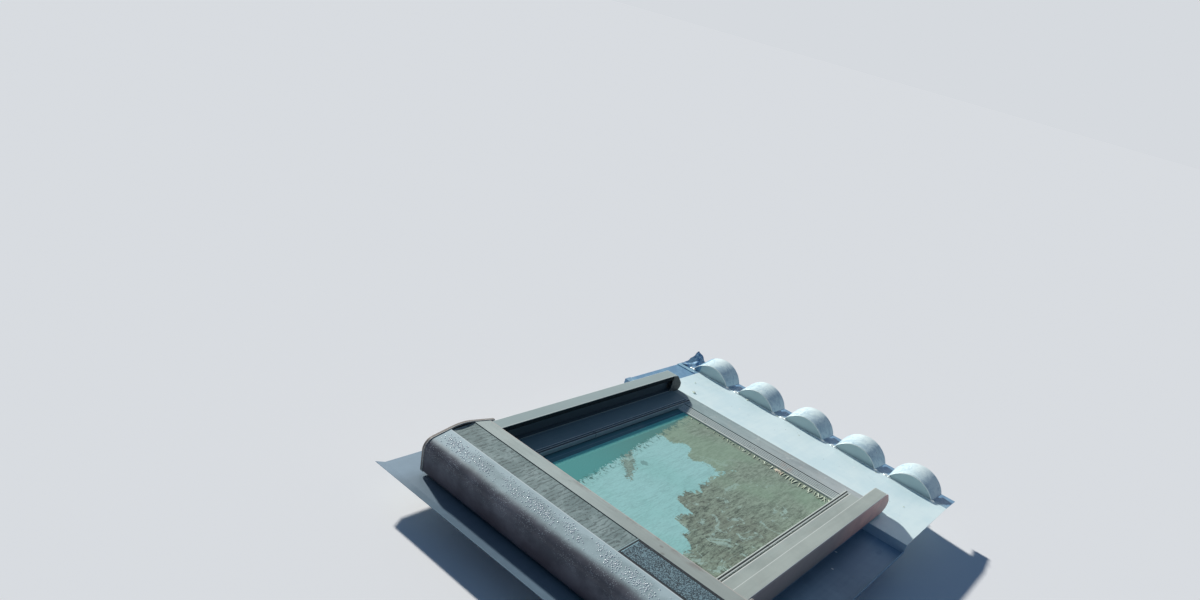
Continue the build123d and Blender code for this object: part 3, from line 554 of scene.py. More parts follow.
def shutterBox():
    look, at = boxLook, boxPlace
    f, colour, rough, fine = coatFinish("boxCoat", look, "X", 0.3, 0.2)
    girth = f.y + (at["girthFrom"] - f.z)
    wander = f.noise(9.0, 4.0, 0.6, 0.5) - 0.5
    grain = f.noise(700.0, 3.0, 0.7) - 0.5

    # the rear: a painted sheen on top, lighter towards +x; then damp, with a film of drops painted pale as
    # glints; then painted shade, darker towards the bottom
    wet = f.ease(girth + wander * 0.07 + grain * 0.05, *at["wet"])
    sheen = f.mix(f.noise(14.0, 4.0, 0.6), look["sheenDark"], look["sheenLight"])
    damp = f.mix(f.ease(f.noise(13.0, 5.0, 0.65), 0.36, 0.66), look["dampDark"], look["dampLight"])
    shadedRear = f.mix(f.ease(f.noise(11.0, 5.0, 0.6), 0.4, 0.65), look["rearShadeDark"], look["rearShadeLight"])
    beads = f.specks(480.0, 0.40, 0.40) * f.ease(f.noise(30.0, 4.0, 0.7), 0.40, 0.60)
    beadBand = f.ease(girth, *at["beadsFrom"]) * f.fade(girth + wander * 0.05, *at["beadsTo"])
    rear = f.layered(
        look, sheen,
        (wet, damp),
        (f.ease(f.x, 0.24, 0.34) * 0.6, "endGlow"),
        (f.ease(girth + wander * 0.03 + grain * 0.03, *at["under"]), shadedRear),
        (beads * beadBand * 0.8, "bead"),
        (f.ease(girth, *at["low"]) * 0.5, "low"))

    # the strip in front of the recess, dirtier towards -x, with a painted highlight along its front lip
    dirt = f.ease(f.noise(15.0, 5.0, 0.7), 0.44, 0.58)
    dampEdge = f.fade(f.y + wander * 0.03, *at["dampEdge"]) * dirt * f.fade(f.x, 0.02, 0.22)
    blemishes = f.specks(46.0, 0.34, 0.16, (0.2, 1.7, 0.6)) * f.fade(f.x, -0.2, 0.3)
    strip = f.layered(
        look, colour,
        (f.fade(f.x, -0.26, 0.12) * 0.45, "stripDull"),
        (blemishes * 0.5, "blemish"),
        (dampEdge * 0.6, "dampEdge"),
        (f.line(f.y, at["frontLip"], 0.0012, 0.001) * 0.5, "frontLip"))

    # painted shade on the wall of the recess and a painted highlight along its rear lip
    near, far = at["recess"]
    recessWall = f.ease(f.y, near, near + 0.001) * f.fade(f.y, far, far + 0.001) * f.ease(f.z, 0.08, 0.09)
    recessLip = f.line(f.y, at["recessLip"], 0.0010, 0.0010) * f.ease(f.z, 0.1, 0.11)
    colour = f.layered(
        look, rear, (f.fade(f.y, *at["front"]), strip), (recessWall, "recessWall"),
        (recessLip * 0.6, "recessLip"))
    f.surface(Base_Color=colour, Roughness=rough + beadBand * beads * -0.2 - wet * 0.1)
    f.bump(fine + beads * beadBand * 0.6, 0.12, 0.0005)
    dress(f, "shutter_casing", "casing_base")


shutterBox()

endLook = {
    "dark": (120, 112, 106), "light": (144, 138, 132), "foot": (98, 88, 86), "rim": (16, 17, 19),
    "glint": (214, 218, 214), "rimAt": (0.4276, 0.4279), "glintAt": 0.4286
}


def boxEnds():
    look = endLook
    f = Finish("boxEndPlastic", Roughness=0.4, Specular_IOR_Level=0.4)
    grainy = f.noise(240.0, 3.0, 0.6)
    face = f.mix(f.ease(f.noise(8.0, 4.0, 0.6), 0.4, 0.62), look["dark"], look["light"])
    face = f.mix(f.fade(f.z, 0.02, 0.08) * 0.5, face, look["foot"])
    colour = f.mix(f.ease(abs(f.x), *look["rimAt"]), look["rim"], f.scaled(face, 0.95 + grainy * 0.1))
    colour = f.mix(f.line(abs(f.x), look["glintAt"], 0.0006, 0.0004) * 0.6, colour, look["glint"])
    f.surface(Base_Color=colour, Roughness=0.42 + (grainy - 0.5) * 0.15)
    f.bump(grainy, 0.06, 0.0004)
    dress(f, "casing_end_*")


boxEnds()

# the strip in the recess: weathered, with wavy dark streaks running down the slope
recessLook = {
    "pale": (142, 160, 160), "dark": (116, 134, 134), "streak": (58, 70, 72), "fleck": (212, 222, 218)
}


def recessStrip():
    look = recessLook
    f = Finish("recessStrip", Roughness=0.6, Specular_IOR_Level=0.3)
    swept = f.waves(26.0, "X", 7.0, 4.0, (1.0, 0.30, 1.0), 3.0)
    runs = f.noise(120.0, 5.0, 0.68, 1.4, (1.0, 0.42, 1.0))
    grain = f.noise(300.0, 4.0, 0.75)
    patchy = f.ease(f.noise(16.0, 5.0, 0.65, 0.7), 0.36, 0.64)
    streaks = f.ease(runs + (swept - 0.5) * 0.25 + (grain - 0.5) * 0.3, 0.52, 0.66)
    flecks = f.specks(300.0, 0.26, 0.12, (2.0, 0.4, 0.9))
    base = f.mix(streaks * 0.6, f.mix(patchy, look["dark"], look["pale"]), look["streak"])
    base = f.mix(flecks * 0.45, f.scaled(base, 0.66 + grain * 0.62), look["fleck"])
    f.surface(Base_Color=base, Roughness=0.62 + (grain - 0.5) * 0.2)
    f.bump(streaks * -0.6 + grain, 0.4, 0.0008)
    dress(f, "recess_cover")


recessStrip()

# solar panel: dusty rim with a painted highlight at its -x end, frosted cells
rimLook = {"dark": (22, 30, 36), "dust": (66, 78, 84), "end": (170, 200, 204), "endAt": -0.1520}
cellLook = {
    "deep": (30, 48, 58), "mid": (50, 72, 84), "frost": (140, 172, 182), "gap": (14, 18, 24),
    "rim": (150, 186, 196), "start": -0.151, "pitch": 0.0195, "rimX": -0.1580, "rimY": 0.5740
}


def panelRim():
    look = rimLook
    f = Finish("panelRim", Roughness=0.35, Specular_IOR_Level=0.4)
    dusty = f.noise(120.0, 4.0, 0.7)
    bright = f.line(f.x, look["endAt"], 0.0009, 0.0008) * f.ease(f.z, 0.120, 0.124)
    colour = f.mix(f.ease(dusty, 0.5, 0.75), look["dark"], look["dust"])
    f.surface(Base_Color=f.mix(bright * 0.7, colour, look["end"]), Roughness=0.34 + dusty * 0.2)
    f.bump(dusty, 0.08, 0.0003)
    dress(f, "solar_frame")


def solarCells():
    look = cellLook
    f = Finish("solarCells", Roughness=0.3, Specular_IOR_Level=0.4)
    frost = f.add("TexVoronoi", {"feature": "F1"}, {"Vector": f.place, "Scale": 300.0})
    grain = f.noise(330.0, 4.0, 0.8)
    rimward = f.line(f.x, look["rimX"], 0.0016, 0.0010).high(f.line(f.y, look["rimY"], 0.0010, 0.0010))
    gaps = f.line((f.x - look["start"]).folded(look["pitch"]), 0.0, 0.0004, 0.0004)
    cell = f.mix(f.ease(f.noise(26.0, 4.0, 0.65), 0.35, 0.65), look["deep"], look["mid"])
    cell = f.layered(
        look, cell,
        (f.ease(grain + (frost - 0.4) * 0.5, 0.52, 0.64) * 0.65, "frost"),
        (f.fade(grain, 0.40, 0.48) * 0.8, "gap"),
        (rimward * 0.8, "rim"),
        (gaps * 0.3, "gap"))
    f.surface(Base_Color=cell, Roughness=0.3 + grain * 0.25)
    f.bump(grain, 0.25, 0.0004)
    dress(f, "solar_cell")


panelRim()
solarCells()


# glass: rippled; clear in the middle, its teal the glass's tint with painted sky reflection; painted shadow
# of the +x rail towards +x; a painted reflection of trees, with a dirt film, towards the foot and -x
glassLook = {
    "clear": (146, 202, 199),
    "clearLight": (156, 208, 207),
    "reflectionAndFilm": (144, 160, 142),
    "treeReflectionDark": (94, 106, 90),
    "treeReflectionShade": (66, 72, 58),
    "treeReflectionWarm": (110, 112, 96),
    "skyGap": (166, 194, 184),
    "greenReflection": (136, 164, 138),
    "railShadow": (73, 152, 150),
    "railShadowFoot": (66, 124, 118),
    "shadowLift": (116, 218, 208),
    "barImage": (34, 84, 108),
    "barLine": (96, 138, 158),
    "blotch": (84, 120, 118),
    "bits": (58, 104, 98),
    "dirtDark": (96, 106, 96),
    "dirtLight": (162, 172, 158),
    "besideBars": (64, 92, 88),
    "alpha": 0.96,
}
# tips of the edge of the painted tree reflection: where, how wide, how soft, how far; its steps: from, to,
# how far
glassPlace = {
    "footLine": (-0.156, -0.149),
    "footTips": [(0.130, 0.004, 0.034, 0.045), (0.080, 0.006, 0.030, -0.026), (-0.037, 0.004, 0.030, 0.050)],
    "sideLine": (-0.030, -0.023),
    "sideSteps": [(0.105, 0.128, 0.066), (0.192, 0.212, 0.055), (0.238, 0.262, 0.045)],
    "sideTip": (0.010, 0.010, 0.030, 0.020),
    "leaf": (0.142, 0.112), "leafHalf": (0.085, 0.021), "leafTurn": (0.78, 0.62),
    "blotch": (0.139, 0.038), "blotchReach": (0.010, 0.014),
    "railShadowLean": 0.132, "railShadowLine": (0.2030, 0.2060), "bits": 0.198,
    "shadowLift": (0.248, 0.262), "barImage": (0.2715, 0.2745), "barLean": 0.012, "barLine": 0.2860,
    "footDirt": (-0.360, -0.338), "besideBars": (0.297, 0.304),
}


class GlassGrain:
    # the noises that more than one layer of the glass uses
    def __init__(self, f):
        self.edge = f.noise(9.0, 7.0, 0.62, 0.3) - 0.5
        self.leafy = f.noise(34.0, 6.0, 0.72, 0.6) - 0.5
        self.grainy = f.noise(150.0, 4.0, 0.7, 0.4) - 0.5
        self.ripple = f.noise(130.0, 4.0, 0.62, 0.7, (1.0, 0.18, 1.0))
        self.fineRipple = f.noise(240.0, 4.0, 0.65, 0.5, (1.0, 0.5, 1.0))


def reflectionAndFilmMask(f, grain):
    # where the reflection of trees is painted, with its dirt film: below a torn line across the pane, beyond
    # a stepped one towards -x, and in a leaf-shaped patch
    at = glassPlace
    torn = grain.edge * 0.13 + grain.leafy * 0.13 + grain.grainy * 0.02
    ragged = (f.noise(78.0, 5.0, 0.78, 0.9) - 0.5) * 0.085
    foot = f.y + torn * 0.55 + ragged
    for where, half, soft, reach in at["footTips"]:
        foot = foot + f.line(f.x, where, half, soft) * reach
    side = f.x + torn * 0.6 + ragged
    for start, end, reach in at["sideSteps"]:
        side = side + f.ease(f.y, start, end) * reach
    where, half, soft, reach = at["sideTip"]
    side = side + f.line(f.y, where, half, soft) * reach
    reflectionAndFilm = f.fade(foot, *at["footLine"]).high(f.fade(side, *at["sideLine"]))
    offX, offY = f.x - at["leaf"][0], f.y - at["leaf"][1]
    cosine, sine = at["leafTurn"]
    lengthwise = (offY * cosine - offX * sine) / at["leafHalf"][0]
    sideways = (offX * cosine + offY * sine) / at["leafHalf"][1]
    farOut = (lengthwise * lengthwise + sideways * sideways) ** 0.5 + lengthwise * 0.3
    smear = f.fade(farOut + grain.leafy * 2.6 + grain.grainy * 2.4, 0.78, 0.92)
    return reflectionAndFilm.high(smear * 0.8)


def treeReflectionColour(f, grain):
    # colours of the painted reflection of trees, with gaps of sky and greener patches
    look = glassLook
    mottle = f.noise(120.0, 6.0, 0.75, 1.1, (1.0, 0.62, 1.0))
    skyGaps = f.ease(f.noise(19.0, 6.0, 0.72, 0.9, (1.0, 0.7, 1.0)), 0.57, 0.62)
    greenReflectionMask = f.ease(f.noise(5.0, 3.0, 0.5), 0.36, 0.56) * f.fade(f.y, -0.20, -0.02)
    dark = f.mix(f.ease(f.y, -0.12, 0.05), look["treeReflectionDark"], look["treeReflectionShade"])
    colour = f.mix(f.ease(grain.ripple * 0.55 + mottle * 0.50, 0.40, 0.62), dark, look["reflectionAndFilm"])
    return f.layered(
        look, colour,
        (f.ease(grain.edge, -0.08, 0.10) * f.ease(f.y, -0.12, 0.02) * 0.4, "treeReflectionWarm"),
        (skyGaps * f.ease(f.y, -0.30, -0.20) * 0.75, "skyGap"),
        (greenReflectionMask * 0.65, "greenReflection"))


def railShadowColour(f, grain):
    # painted shadow of the +x rail: teal, darker towards the foot, painted lighter in the bar's own cast
    # shadow, and dark beside the +x bar, which is mirrored there
    look, at = glassLook, glassPlace
    barImage = f.ease(f.x + f.y * at["barLean"], *at["barImage"])
    colour = f.mix(f.ease(f.y, -0.35, 0.3), look["railShadowFoot"], look["railShadow"])
    colour = f.layered(
        look, colour,
        (f.ease(f.x, *at["shadowLift"]), "shadowLift"),
        (barImage * 0.9, "barImage"),
        (f.line(f.x, at["barLine"], 0.0010) * 0.6, "barLine"))
    return f.scaled(colour, 0.92 + grain.fineRipple * 0.16)


def outerGlass():
    look, at = glassLook, glassPlace
    f = Finish("outerGlass", Roughness=0.06, IOR=1.5, Alpha=look["alpha"], Specular_IOR_Level=0.25)
    grain = GlassGrain(f)
    reflectionAndFilm = reflectionAndFilmMask(f, grain)
    # the glass's tint with painted sky reflection, broken up by ripples
    clear = f.mix(f.ease(f.noise(5.0, 3.0, 0.5), 0.35, 0.65), look["clear"], look["clearLight"])
    rippled = f.ease(grain.ripple * 0.6 + grain.fineRipple * 0.4, 0.42, 0.56)
    clear = f.scaled(clear, 0.91 + rippled * 0.10 + grain.grainy * 0.08)
    wrinkles = f.line(f.noise(46.0, 4.0, 0.62, 0.7, (1.0, 0.14, 1.0)), 0.5, 0.006, 0.022)
    # the painted reflection of trees laid over the clear glass
    colour = f.mix(reflectionAndFilm * 0.94, clear, treeReflectionColour(f, grain))
    colour = f.scaled(colour, 1.0 - wrinkles * (0.10 + reflectionAndFilm * f.ease(f.y, -0.20, 0.05) * 0.16))

    shadeLine = f.x + f.y * at["railShadowLean"]  # the painted rail shadow widens towards the head
    railShadow = f.ease(shadeLine + grain.grainy * 0.05 + grain.leafy * 0.035, *at["railShadowLine"])
    # dots along the edge of the painted rail shadow
    bits = f.ease(f.noise(64.0, 4.0, 0.7, 0.8), 0.535, 0.565) * f.line(shadeLine, at["bits"], 0.004, 0.020)
    blotX, blotY = f.x - at["blotch"][0], f.y - at["blotch"][1]
    fromBlotch = (blotX * blotX + blotY * blotY) ** 0.5 + grain.leafy * 0.05 + grain.grainy * 0.03
    footDirt = f.fade(f.y + grain.leafy * 0.03, *at["footDirt"]) * (1.0 - f.ease(f.x, -0.05, 0.25) * 0.7)
    combed = f.noise(300.0, 3.0, 0.7, 1.6, (1.0, 0.30, 1.0))
    dirtTone = f.mix(f.ease(combed, 0.46, 0.56), look["dirtDark"], look["dirtLight"])
    # darker along the sides of the pane beside the bars
    besideBars = f.ease(abs(f.x) + grain.leafy * 0.01, *at["besideBars"])
    colour = f.layered(
        look, colour,
        (railShadow, railShadowColour(f, grain)),
        (f.fade(fromBlotch, *at["blotchReach"]) * 0.55, "blotch"),
        (bits * 0.8, "bits"),
        (footDirt * 0.7 * (1.0 - railShadow * 0.7), dirtTone),
        (besideBars * 0.5, "besideBars"))
    rough = 0.10 + reflectionAndFilm * 0.12 + footDirt * 0.4 + f.ease(f.x, 0.250, 0.264) * 0.5
    f.surface(Base_Color=colour, Roughness=rough)
    f.bump(grain.ripple * 0.6 + grain.fineRipple * 0.3 + footDirt * combed * 2.0, 0.12, 0.0012)
    dress(f, "outer_pane")


outerGlass()

innerLook = {"dark": (150, 190, 184), "light": (176, 206, 200), "grain": (6.0, 4.0, 0.6),
             "rough": (0.03, 0.05)}
dress(plainFinish("innerGlass", innerLook, Roughness=0.03, IOR=1.5, Alpha=0.45), "inner_pane")


# wood, steel, rubber
woodLook = {
    "pale": (214, 176, 122), "ring": (190, 147, 95), "pore": (142, 98, 56), "knot": (112, 70, 38),
    "roughness": 0.38
}


def woodFinish(name, along):
    look = woodLook
    f = Finish(name, Roughness=look["roughness"], Coat_Weight=0.15)
    stretch = (1.0, 0.05, 1.0) if along == "Y" else (0.05, 1.0, 1.0)
    rings = f.waves(26.0, "DIAGONAL", 3.5, 3.0, stretch, 1.2)
    fibre = f.noise(420.0, 4.0, 0.7, 0.2, stretch)
    pores = f.ease(f.noise(900.0, 2.0, 0.6, 0.0, stretch), 0.60, 0.72)
    colour = f.mix(f.ease(rings * 0.6 + fibre * 0.4, 0.4, 0.75), look["pale"], look["ring"])
    colour = f.layered(look, colour, (pores * 0.35, "pore"), (f.specks(5.0, 0.05, 0.3) * 0.8, "knot"))
    f.surface(Base_Color=colour, Roughness=look["roughness"] + fibre * 0.12)
    f.bump(fibre, 0.08, 0.0004)
    return f


dress(woodFinish("frameWoodLong", "Y"), "frame_*", "sash_*")
dress(woodFinish("frameWoodAcross", "X"), "frame_top", "frame_bottom", "sash_top", "sash_bottom")

steelLook = {"dark": (158, 164, 168), "light": (196, 200, 202), "flakes": 140.0}


def galvanisedSteel():
    f = Finish("galvanisedSteel", Metallic=0.85)
    flakes = f.add("TexVoronoi", {"feature": "F1"}, {"Vector": f.place, "Scale": steelLook["flakes"]}, 1)
    flakeTone = f.add("SeparateColor", {}, {0: flakes})
    grain = f.noise(300.0, 3.0, 0.6)
    colour = f.mix(flakeTone, steelLook["dark"], steelLook["light"])
    f.surface(Base_Color=colour, Roughness=0.34 + grain * 0.2)
    f.bump(grain, 0.06, 0.0003)
    return f


dress(galvanisedSteel(), "striker_plate", "pivot_plate_*", "pivot_stud_*", "bracket_front_*",
      "bracket_back_*", "bracket_screws", "roller_tube", "barrel_bolt", "lock_latch", "lock_case")

aluminiumLook = {
    "dark": (188, 190, 190), "light": (216, 217, 216), "rough": (0.28, 0.22),
    "grain": (500.0, 3.0, 0.6, 0.0, (0.04, 1.0, 1.0)), "bump": (0.08, 0.0003)
}
rubberLook = {
    "dark": (16, 17, 18), "light": (46, 46, 44), "grain": (160.0, 4.0, 0.7), "ease": (0.5, 0.75),
    "rough": (0.6, 0.3), "bump": (0.1, 0.0004)
}
plasticLook = {
    "dark": (24, 25, 27), "light": (40, 41, 44), "grain": (380.0, 3.0, 0.6), "rough": (0.45, 0.15),
    "bump": (0.08, 0.0003)
}
brushed = plainFinish("brushedAluminium", aluminiumLook, Metallic=0.9)
dress(brushed, "control_bar", "bar_bracket_*", "bolt_guide", "glass_spacer")
dress(plainFinish("sealRubber", rubberLook, Roughness=0.75), "frame_seal", "glazing_seal")
dress(plainFinish("innerPlastic", plasticLook, Roughness=0.5), "battery_pack", "tube_motor", "idler_bearing")

slatLook = dict(coatLook, light=(128, 131, 130), dark=(110, 113, 113))
slatFinish, colour, rough, fine = coatFinish("slatCoat", slatLook, "X", 0.15, 0.05)
finishCoat(slatFinish, colour, rough, fine)
dress(slatFinish, "curtain_roll", "end_bar")
print("finishes made")


# small modelled pieces
def meshPiece(name, points, faces, finish, body, smooth=True):
    # body None: the piece is attached to no body
    mesh = bpy.data.meshes.new(name)
    mesh.from_pydata([tuple(p) for p in points], [], faces)
    mesh.validate()
    mesh.update()
    mesh.polygons.foreach_set("use_smooth", [smooth] * len(mesh.polygons))
    piece = bpy.data.objects.new(name, mesh)
    bpy.context.scene.collection.objects.link(piece)
    mesh.materials.append(finish.material)
    if body:
        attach(piece, body)
    return piece


# curtain of slats: lies packed behind the end bar at rest
curtainLook = {
    "slats": 35, "half": 0.398, "thick": 0.0066, "middle": 0.073, "start": 0.500, "end": 0.466,
    "travel": 0.861, "steps": 7, "crown": 0.7, "rise": 0.9, "hollow": 0.25
}


def packedPlace(share):
    # rest place whose blended place is evenly spread when the end bar is fully down
    look = curtainLook
    span = look["start"] - look["end"]
    aim = share * (span + look["travel"])
    low, high = 0.0, 1.0
    for _ in range(40):
        t = (low + high) / 2
        if t * span + look["travel"] * t * t * (3 - 2 * t) < aim:
            low = t
        else:
            high = t
    return look["start"] - low * span


def slatCurtain():
    look = curtainLook
    section = []
    for i in range(look["slats"]):
        for j in range(look["steps"]):
            across = j / look["steps"]
            section.append(((i + across) / look["slats"], math.sin(math.pi * across) ** look["crown"]))
    section.append((1.0, 0.0))
    half, middle, thick = look["half"], look["middle"], look["thick"]
    points, faces = [], []
    for share, crown in section:
        y = packedPlace(share)
        up = middle + thick * (crown - 0.5) * look["rise"]
        down = middle - thick * 0.5 + thick * look["hollow"] * crown
        points += [(-half, y, up), (half, y, up), (-half, y, down), (half, y, down)]
    for i in range(len(section) - 1):
        a, b = i * 4, i * 4 + 4
        faces += [(a, a + 1, b + 1, b), (a + 2, b + 2, b + 3, a + 3)]
        faces += [(a, b, b + 2, a + 2), (a + 1, a + 3, b + 3, b + 1)]
    piece = meshPiece("slat_curtain", points, faces, slatFinish, None, False)
    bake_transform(piece)


slatCurtain()


def walls(faces, start, rows, turns):
    # faces between rows of points, each row closed in itself
    for i in range(rows - 1):
        low, high = start + i * turns, start + (i + 1) * turns
        for j in range(turns):
            k = (j + 1) % turns
            faces.append((low + j, low + k, high + k, high + j))


def blob(points, faces, centre, size, seed, rings=7, turns=12):
    # half a pebble, its outline wobbled by the seed
    pick = random.Random(seed)
    start = len(points)
    wobble = [pick.uniform(0.82, 1.15) for _ in range(turns)]
    for i in range(rings):
        rise = math.pi / 2 * i / (rings - 1)
        for j in range(turns):
            around = 2 * math.pi * j / turns
            reach = math.cos(rise) * wobble[j]
            points.append((centre[0] + size[0] * reach * math.cos(around),
                           centre[1] + size[1] * reach * math.sin(around),
                           centre[2] + size[2] * math.sin(rise)))
    walls(faces, start, rings, turns)


# solder along the foot of each cap: a row of beads and three larger blobs
capRow = {"caps": 5, "pitch": 0.206, "shift": -0.003}
solderLook = {
    "dark": (188, 204, 208), "light": (226, 236, 236), "grain": (160.0, 4.0, 0.6), "rough": (0.3, 0.25),
    "bump": (0.3, 0.0006),
    "half": 0.079, "line": -0.7623, "top": 0.036,
    "beads": 26, "bead": (0.0042, 0.0024, 0.0016), "beadSink": 0.0006, "beadSeed": 100,
    "blobSink": 0.0005,
    # side of the cap, place beyond its end in x and y, size, seed
    "blobs": [(1, 0.004, -0.002, (0.012, 0.009, 0.0045), 0), (1, -0.006, 0.001, (0.008, 0.005, 0.005), 20),
              (-1, -0.003, -0.001, (0.008, 0.007, 0.003), 40)],
}


def capMiddles():
    return [(i - 2) * capRow["pitch"] + capRow["shift"] for i in range(capRow["caps"])]


def solderSeams(finish):
    look = solderLook
    points, faces = [], []
    for i, middle in enumerate(capMiddles()):
        for side, alongX, alongY, size, seed in look["blobs"]:
            x, y = middle + side * look["half"] + alongX, look["line"] + alongY
            place = (x, y, look["top"] - look["blobSink"])
            blob(points, faces, place, size, i + seed)
        for k in range(look["beads"]):
            x = middle - look["half"] + 2 * look["half"] * (k + 0.5) / look["beads"]
            place = (x, look["line"], look["top"] - look["beadSink"])
            blob(points, faces, place, look["bead"], look["beadSeed"] + i * look["beads"] + k, 4, 8)
    meshPiece("solder_seams", points, faces, finish, "frame")


# raised welt round each cap's disc
weltLook = {
    "width": 0.158, "high": 0.046, "y": -0.7628, "base": 0.0348, "radius": 0.0013, "sink": 0.0004,
    "steps": 36, "turns": 8
}


def capWelts(finish):
    look = weltLook
    steps, turns, radius = look["steps"], look["turns"], look["radius"]
    bow = (look["width"] ** 2 / 4 + look["high"] ** 2) / (2 * look["high"])
    spread = math.asin(look["width"] / 2 / bow)
    crownZ = look["base"] + look["high"] - bow
    points, faces = [], []
    for middle in capMiddles():
        first = len(points)
        for k in range(steps + 1):
            angle = -spread + 2 * spread * k / steps
            for j in range(turns):
                around = 2 * math.pi * j / turns
                reach = bow - look["sink"] + radius * math.cos(around)
                points.append((middle + reach * math.sin(angle), look["y"] + radius * math.sin(around),
                               crownZ + reach * math.cos(angle)))
        walls(faces, first, steps + 1, turns)
    meshPiece("cap_welts", points, faces, finish, "frame")


solder = plainFinish("solder", solderLook, Metallic=0.6)
solderSeams(solder)
capWelts(solder)

# dry blades and a husk caught along the lower edge of the glass, thickest towards -x
litterLook = {
    "dark": (178, 190, 168), "light": (222, 234, 218), "huskTone": (228, 204, 180),
    "count": 44, "seed": 5, "half": 0.292, "y": -0.379, "setBack": 0.003, "z": 0.0412, "steps": 5,
    "long": (0.030, 0.042), "wide": (0.0020, 0.0034), "lean": (0.1, 0.2), "bend": 0.8,
    "husk": (-0.112, -0.3640, 0.0405), "huskSize": (0.015, 0.007, 0.004), "huskSeed": 3,
}


def litterCoat():
    look = litterLook
    f = Finish("dryBlades", Roughness=0.8)
    shade = f.noise(60.0, 3.0, 0.6)
    fibre = f.noise(700.0, 3.0, 0.6)
    colour = f.mix(f.ease(shade, 0.35, 0.65), look["dark"], look["light"])
    colour = f.mix(f.line(f.x, look["husk"][0], 0.016, 0.003) * 0.6, colour, look["huskTone"])
    f.surface(Base_Color=f.scaled(colour, 0.8 + fibre * 0.35), Roughness=0.7 + shade * 0.2)
    f.bump(fibre, 0.2, 0.0004)
    return f


def dryBlade(points, faces, x, y, long, wide, turn, bend):
    # a tapered, curved strip with a raised middle
    look = litterLook
    steps = look["steps"]
    start = len(points)
    for k in range(steps + 1):
        along = k / steps
        way = turn + bend * (along - 0.5)
        x += long / steps * math.cos(way)
        y += long / steps * abs(math.sin(way))
        half = wide * (1.0 - 0.85 * along ** 2)
        lift = look["z"] + 0.0003 + 0.0012 * math.sin(math.pi * along)
        nx, ny = -math.sin(way) * half, math.cos(way) * half
        points += [(x + nx, y + ny, lift), (x, y, lift + half * 0.5), (x - nx, y - ny, lift)]
    walls(faces, start, steps + 1, 3)


def edgeLitter(finish):
    look = litterLook
    pick = random.Random(look["seed"])
    points, faces = [], []
    for i in range(look["count"]):
        share = (i + pick.uniform(0.1, 0.9)) / look["count"]
        x = look["half"] * (1.0 - 2.0 * share ** 0.55)
        size = 0.3 + 0.7 * share ** 0.7                              # blades are longer towards -x
        long = pick.uniform(*look["long"]) * size
        wide = pick.uniform(*look["wide"]) * (0.4 + size * 0.6)
        turn = math.pi / 2 + pick.gauss(*look["lean"])
        bend = pick.uniform(-look["bend"], look["bend"])
        y = look["y"] + pick.uniform(0.0, look["setBack"])
        dryBlade(points, faces, x, y, long, wide, turn, bend)
    blob(points, faces, look["husk"], look["huskSize"], look["huskSeed"])
    meshPiece("edge_litter", points, faces, finish, "sash")


litter = litterCoat()
edgeLitter(litter)

# water beads on the shoulder of the box, in drifts
beadLook = {
    "dark": (186, 198, 204), "light": (222, 232, 236), "grain": (900.0, 2.0, 0.5), "rough": (0.12, 0.12),
    "count": 1500, "seed": 11, "half": 0.42, "y": (0.582, 0.634, 0.612), "size": (0.0008, 0.0021),
    "long": (0.9, 1.4), "sink": 0.0002, "drift": (23.0, 61.0, 90.0), "scatter": 1.4, "least": -0.3
}
# the box in side view: two slopes, each side of a crest, joined by a round of one radius
shoulderLook = {"crestY": 0.534, "crest": 0.138, "rise": 17.5 / 105, "fall": 27.5 / 126.5, "radius": 0.2}


def boxTop(y):
    look = shoulderLook
    reach = look["radius"] * math.tan((math.atan(look["rise"]) + math.atan(look["fall"])) / 2)
    beyond = y - look["crestY"]
    flat = look["crest"] + look["rise"] * beyond if beyond < 0 else look["crest"] - look["fall"] * beyond
    near = max(0.0, reach - abs(beyond))
    return flat - near * near / (2 * look["radius"])


def waterBeads(finish):
    look = beadLook
    pick = random.Random(look["seed"])
    across, slanted, slope = look["drift"]
    points, faces = [], []
    made = 0
    while made < look["count"]:
        x = pick.uniform(-look["half"], look["half"])
        y = pick.triangular(*look["y"])
        drift = math.sin(x * across) + math.sin(x * slanted + y * slope)
        if drift + pick.uniform(-look["scatter"], look["scatter"]) < look["least"]:
            continue
        size = pick.uniform(*look["size"])
        place = (x, y, boxTop(y) - look["sink"])
        blob(points, faces, place, (size, size * pick.uniform(*look["long"]), size * 0.6), made, 3, 6)
        made += 1
    meshPiece("water_beads", points, faces, finish, "frame")


waterBeads(plainFinish("waterBeads", beadLook, Roughness=0.05, IOR=1.33))

# dry leaf bits lying on the apron: place in x and y, and size
crumbLook = {
    "bits": [(0.361, -0.575, 0.013), (0.228, -0.752, 0.008), (0.098, -0.754, 0.006), (-0.452, -0.610, 0.005),
             (0.408, -0.655, 0.006), (-0.02, -0.700, 0.004), (-0.30, -0.745, 0.005)],
    "top": 0.0362, "corners": 9, "seed": 60,
}


def leafBits(finish):
    look = crumbLook
    corners = look["corners"]
    points, faces = [], []
    for i, (x, y, size) in enumerate(look["bits"]):
        pick = random.Random(i + look["seed"])
        start = len(points)
        points.append((x, y, look["top"] + size * 0.35))
        for j in range(corners):
            around = 2 * math.pi * j / corners
            reach = size * pick.uniform(0.45, 1.0)
            points.append((x + reach * math.cos(around), y + reach * 0.7 * math.sin(around),
                           look["top"] + size * pick.uniform(0.02, 0.3)))
        faces += [(start, start + 1 + j, start + 1 + (j + 1) % corners) for j in range(corners)]
    meshPiece("leaf_bits", points, faces, finish, "frame", False)


leafBits(litter)

# crinkled end of the flashing at the +x corner, painted blue as shade
crinkleLook = {
    "dark": (50, 104, 150), "light": (142, 180, 202), "x": (0.468, 0.543), "y": (-0.862, -0.756),
    "base": 0.0372, "steps": 30, "seed": 9, "bumps": 26, "bumpWidth": (0.05, 0.2),
    "bumpHeight": (-0.006, 0.010), "curlFrom": 1.25, "curl": 0.06
}


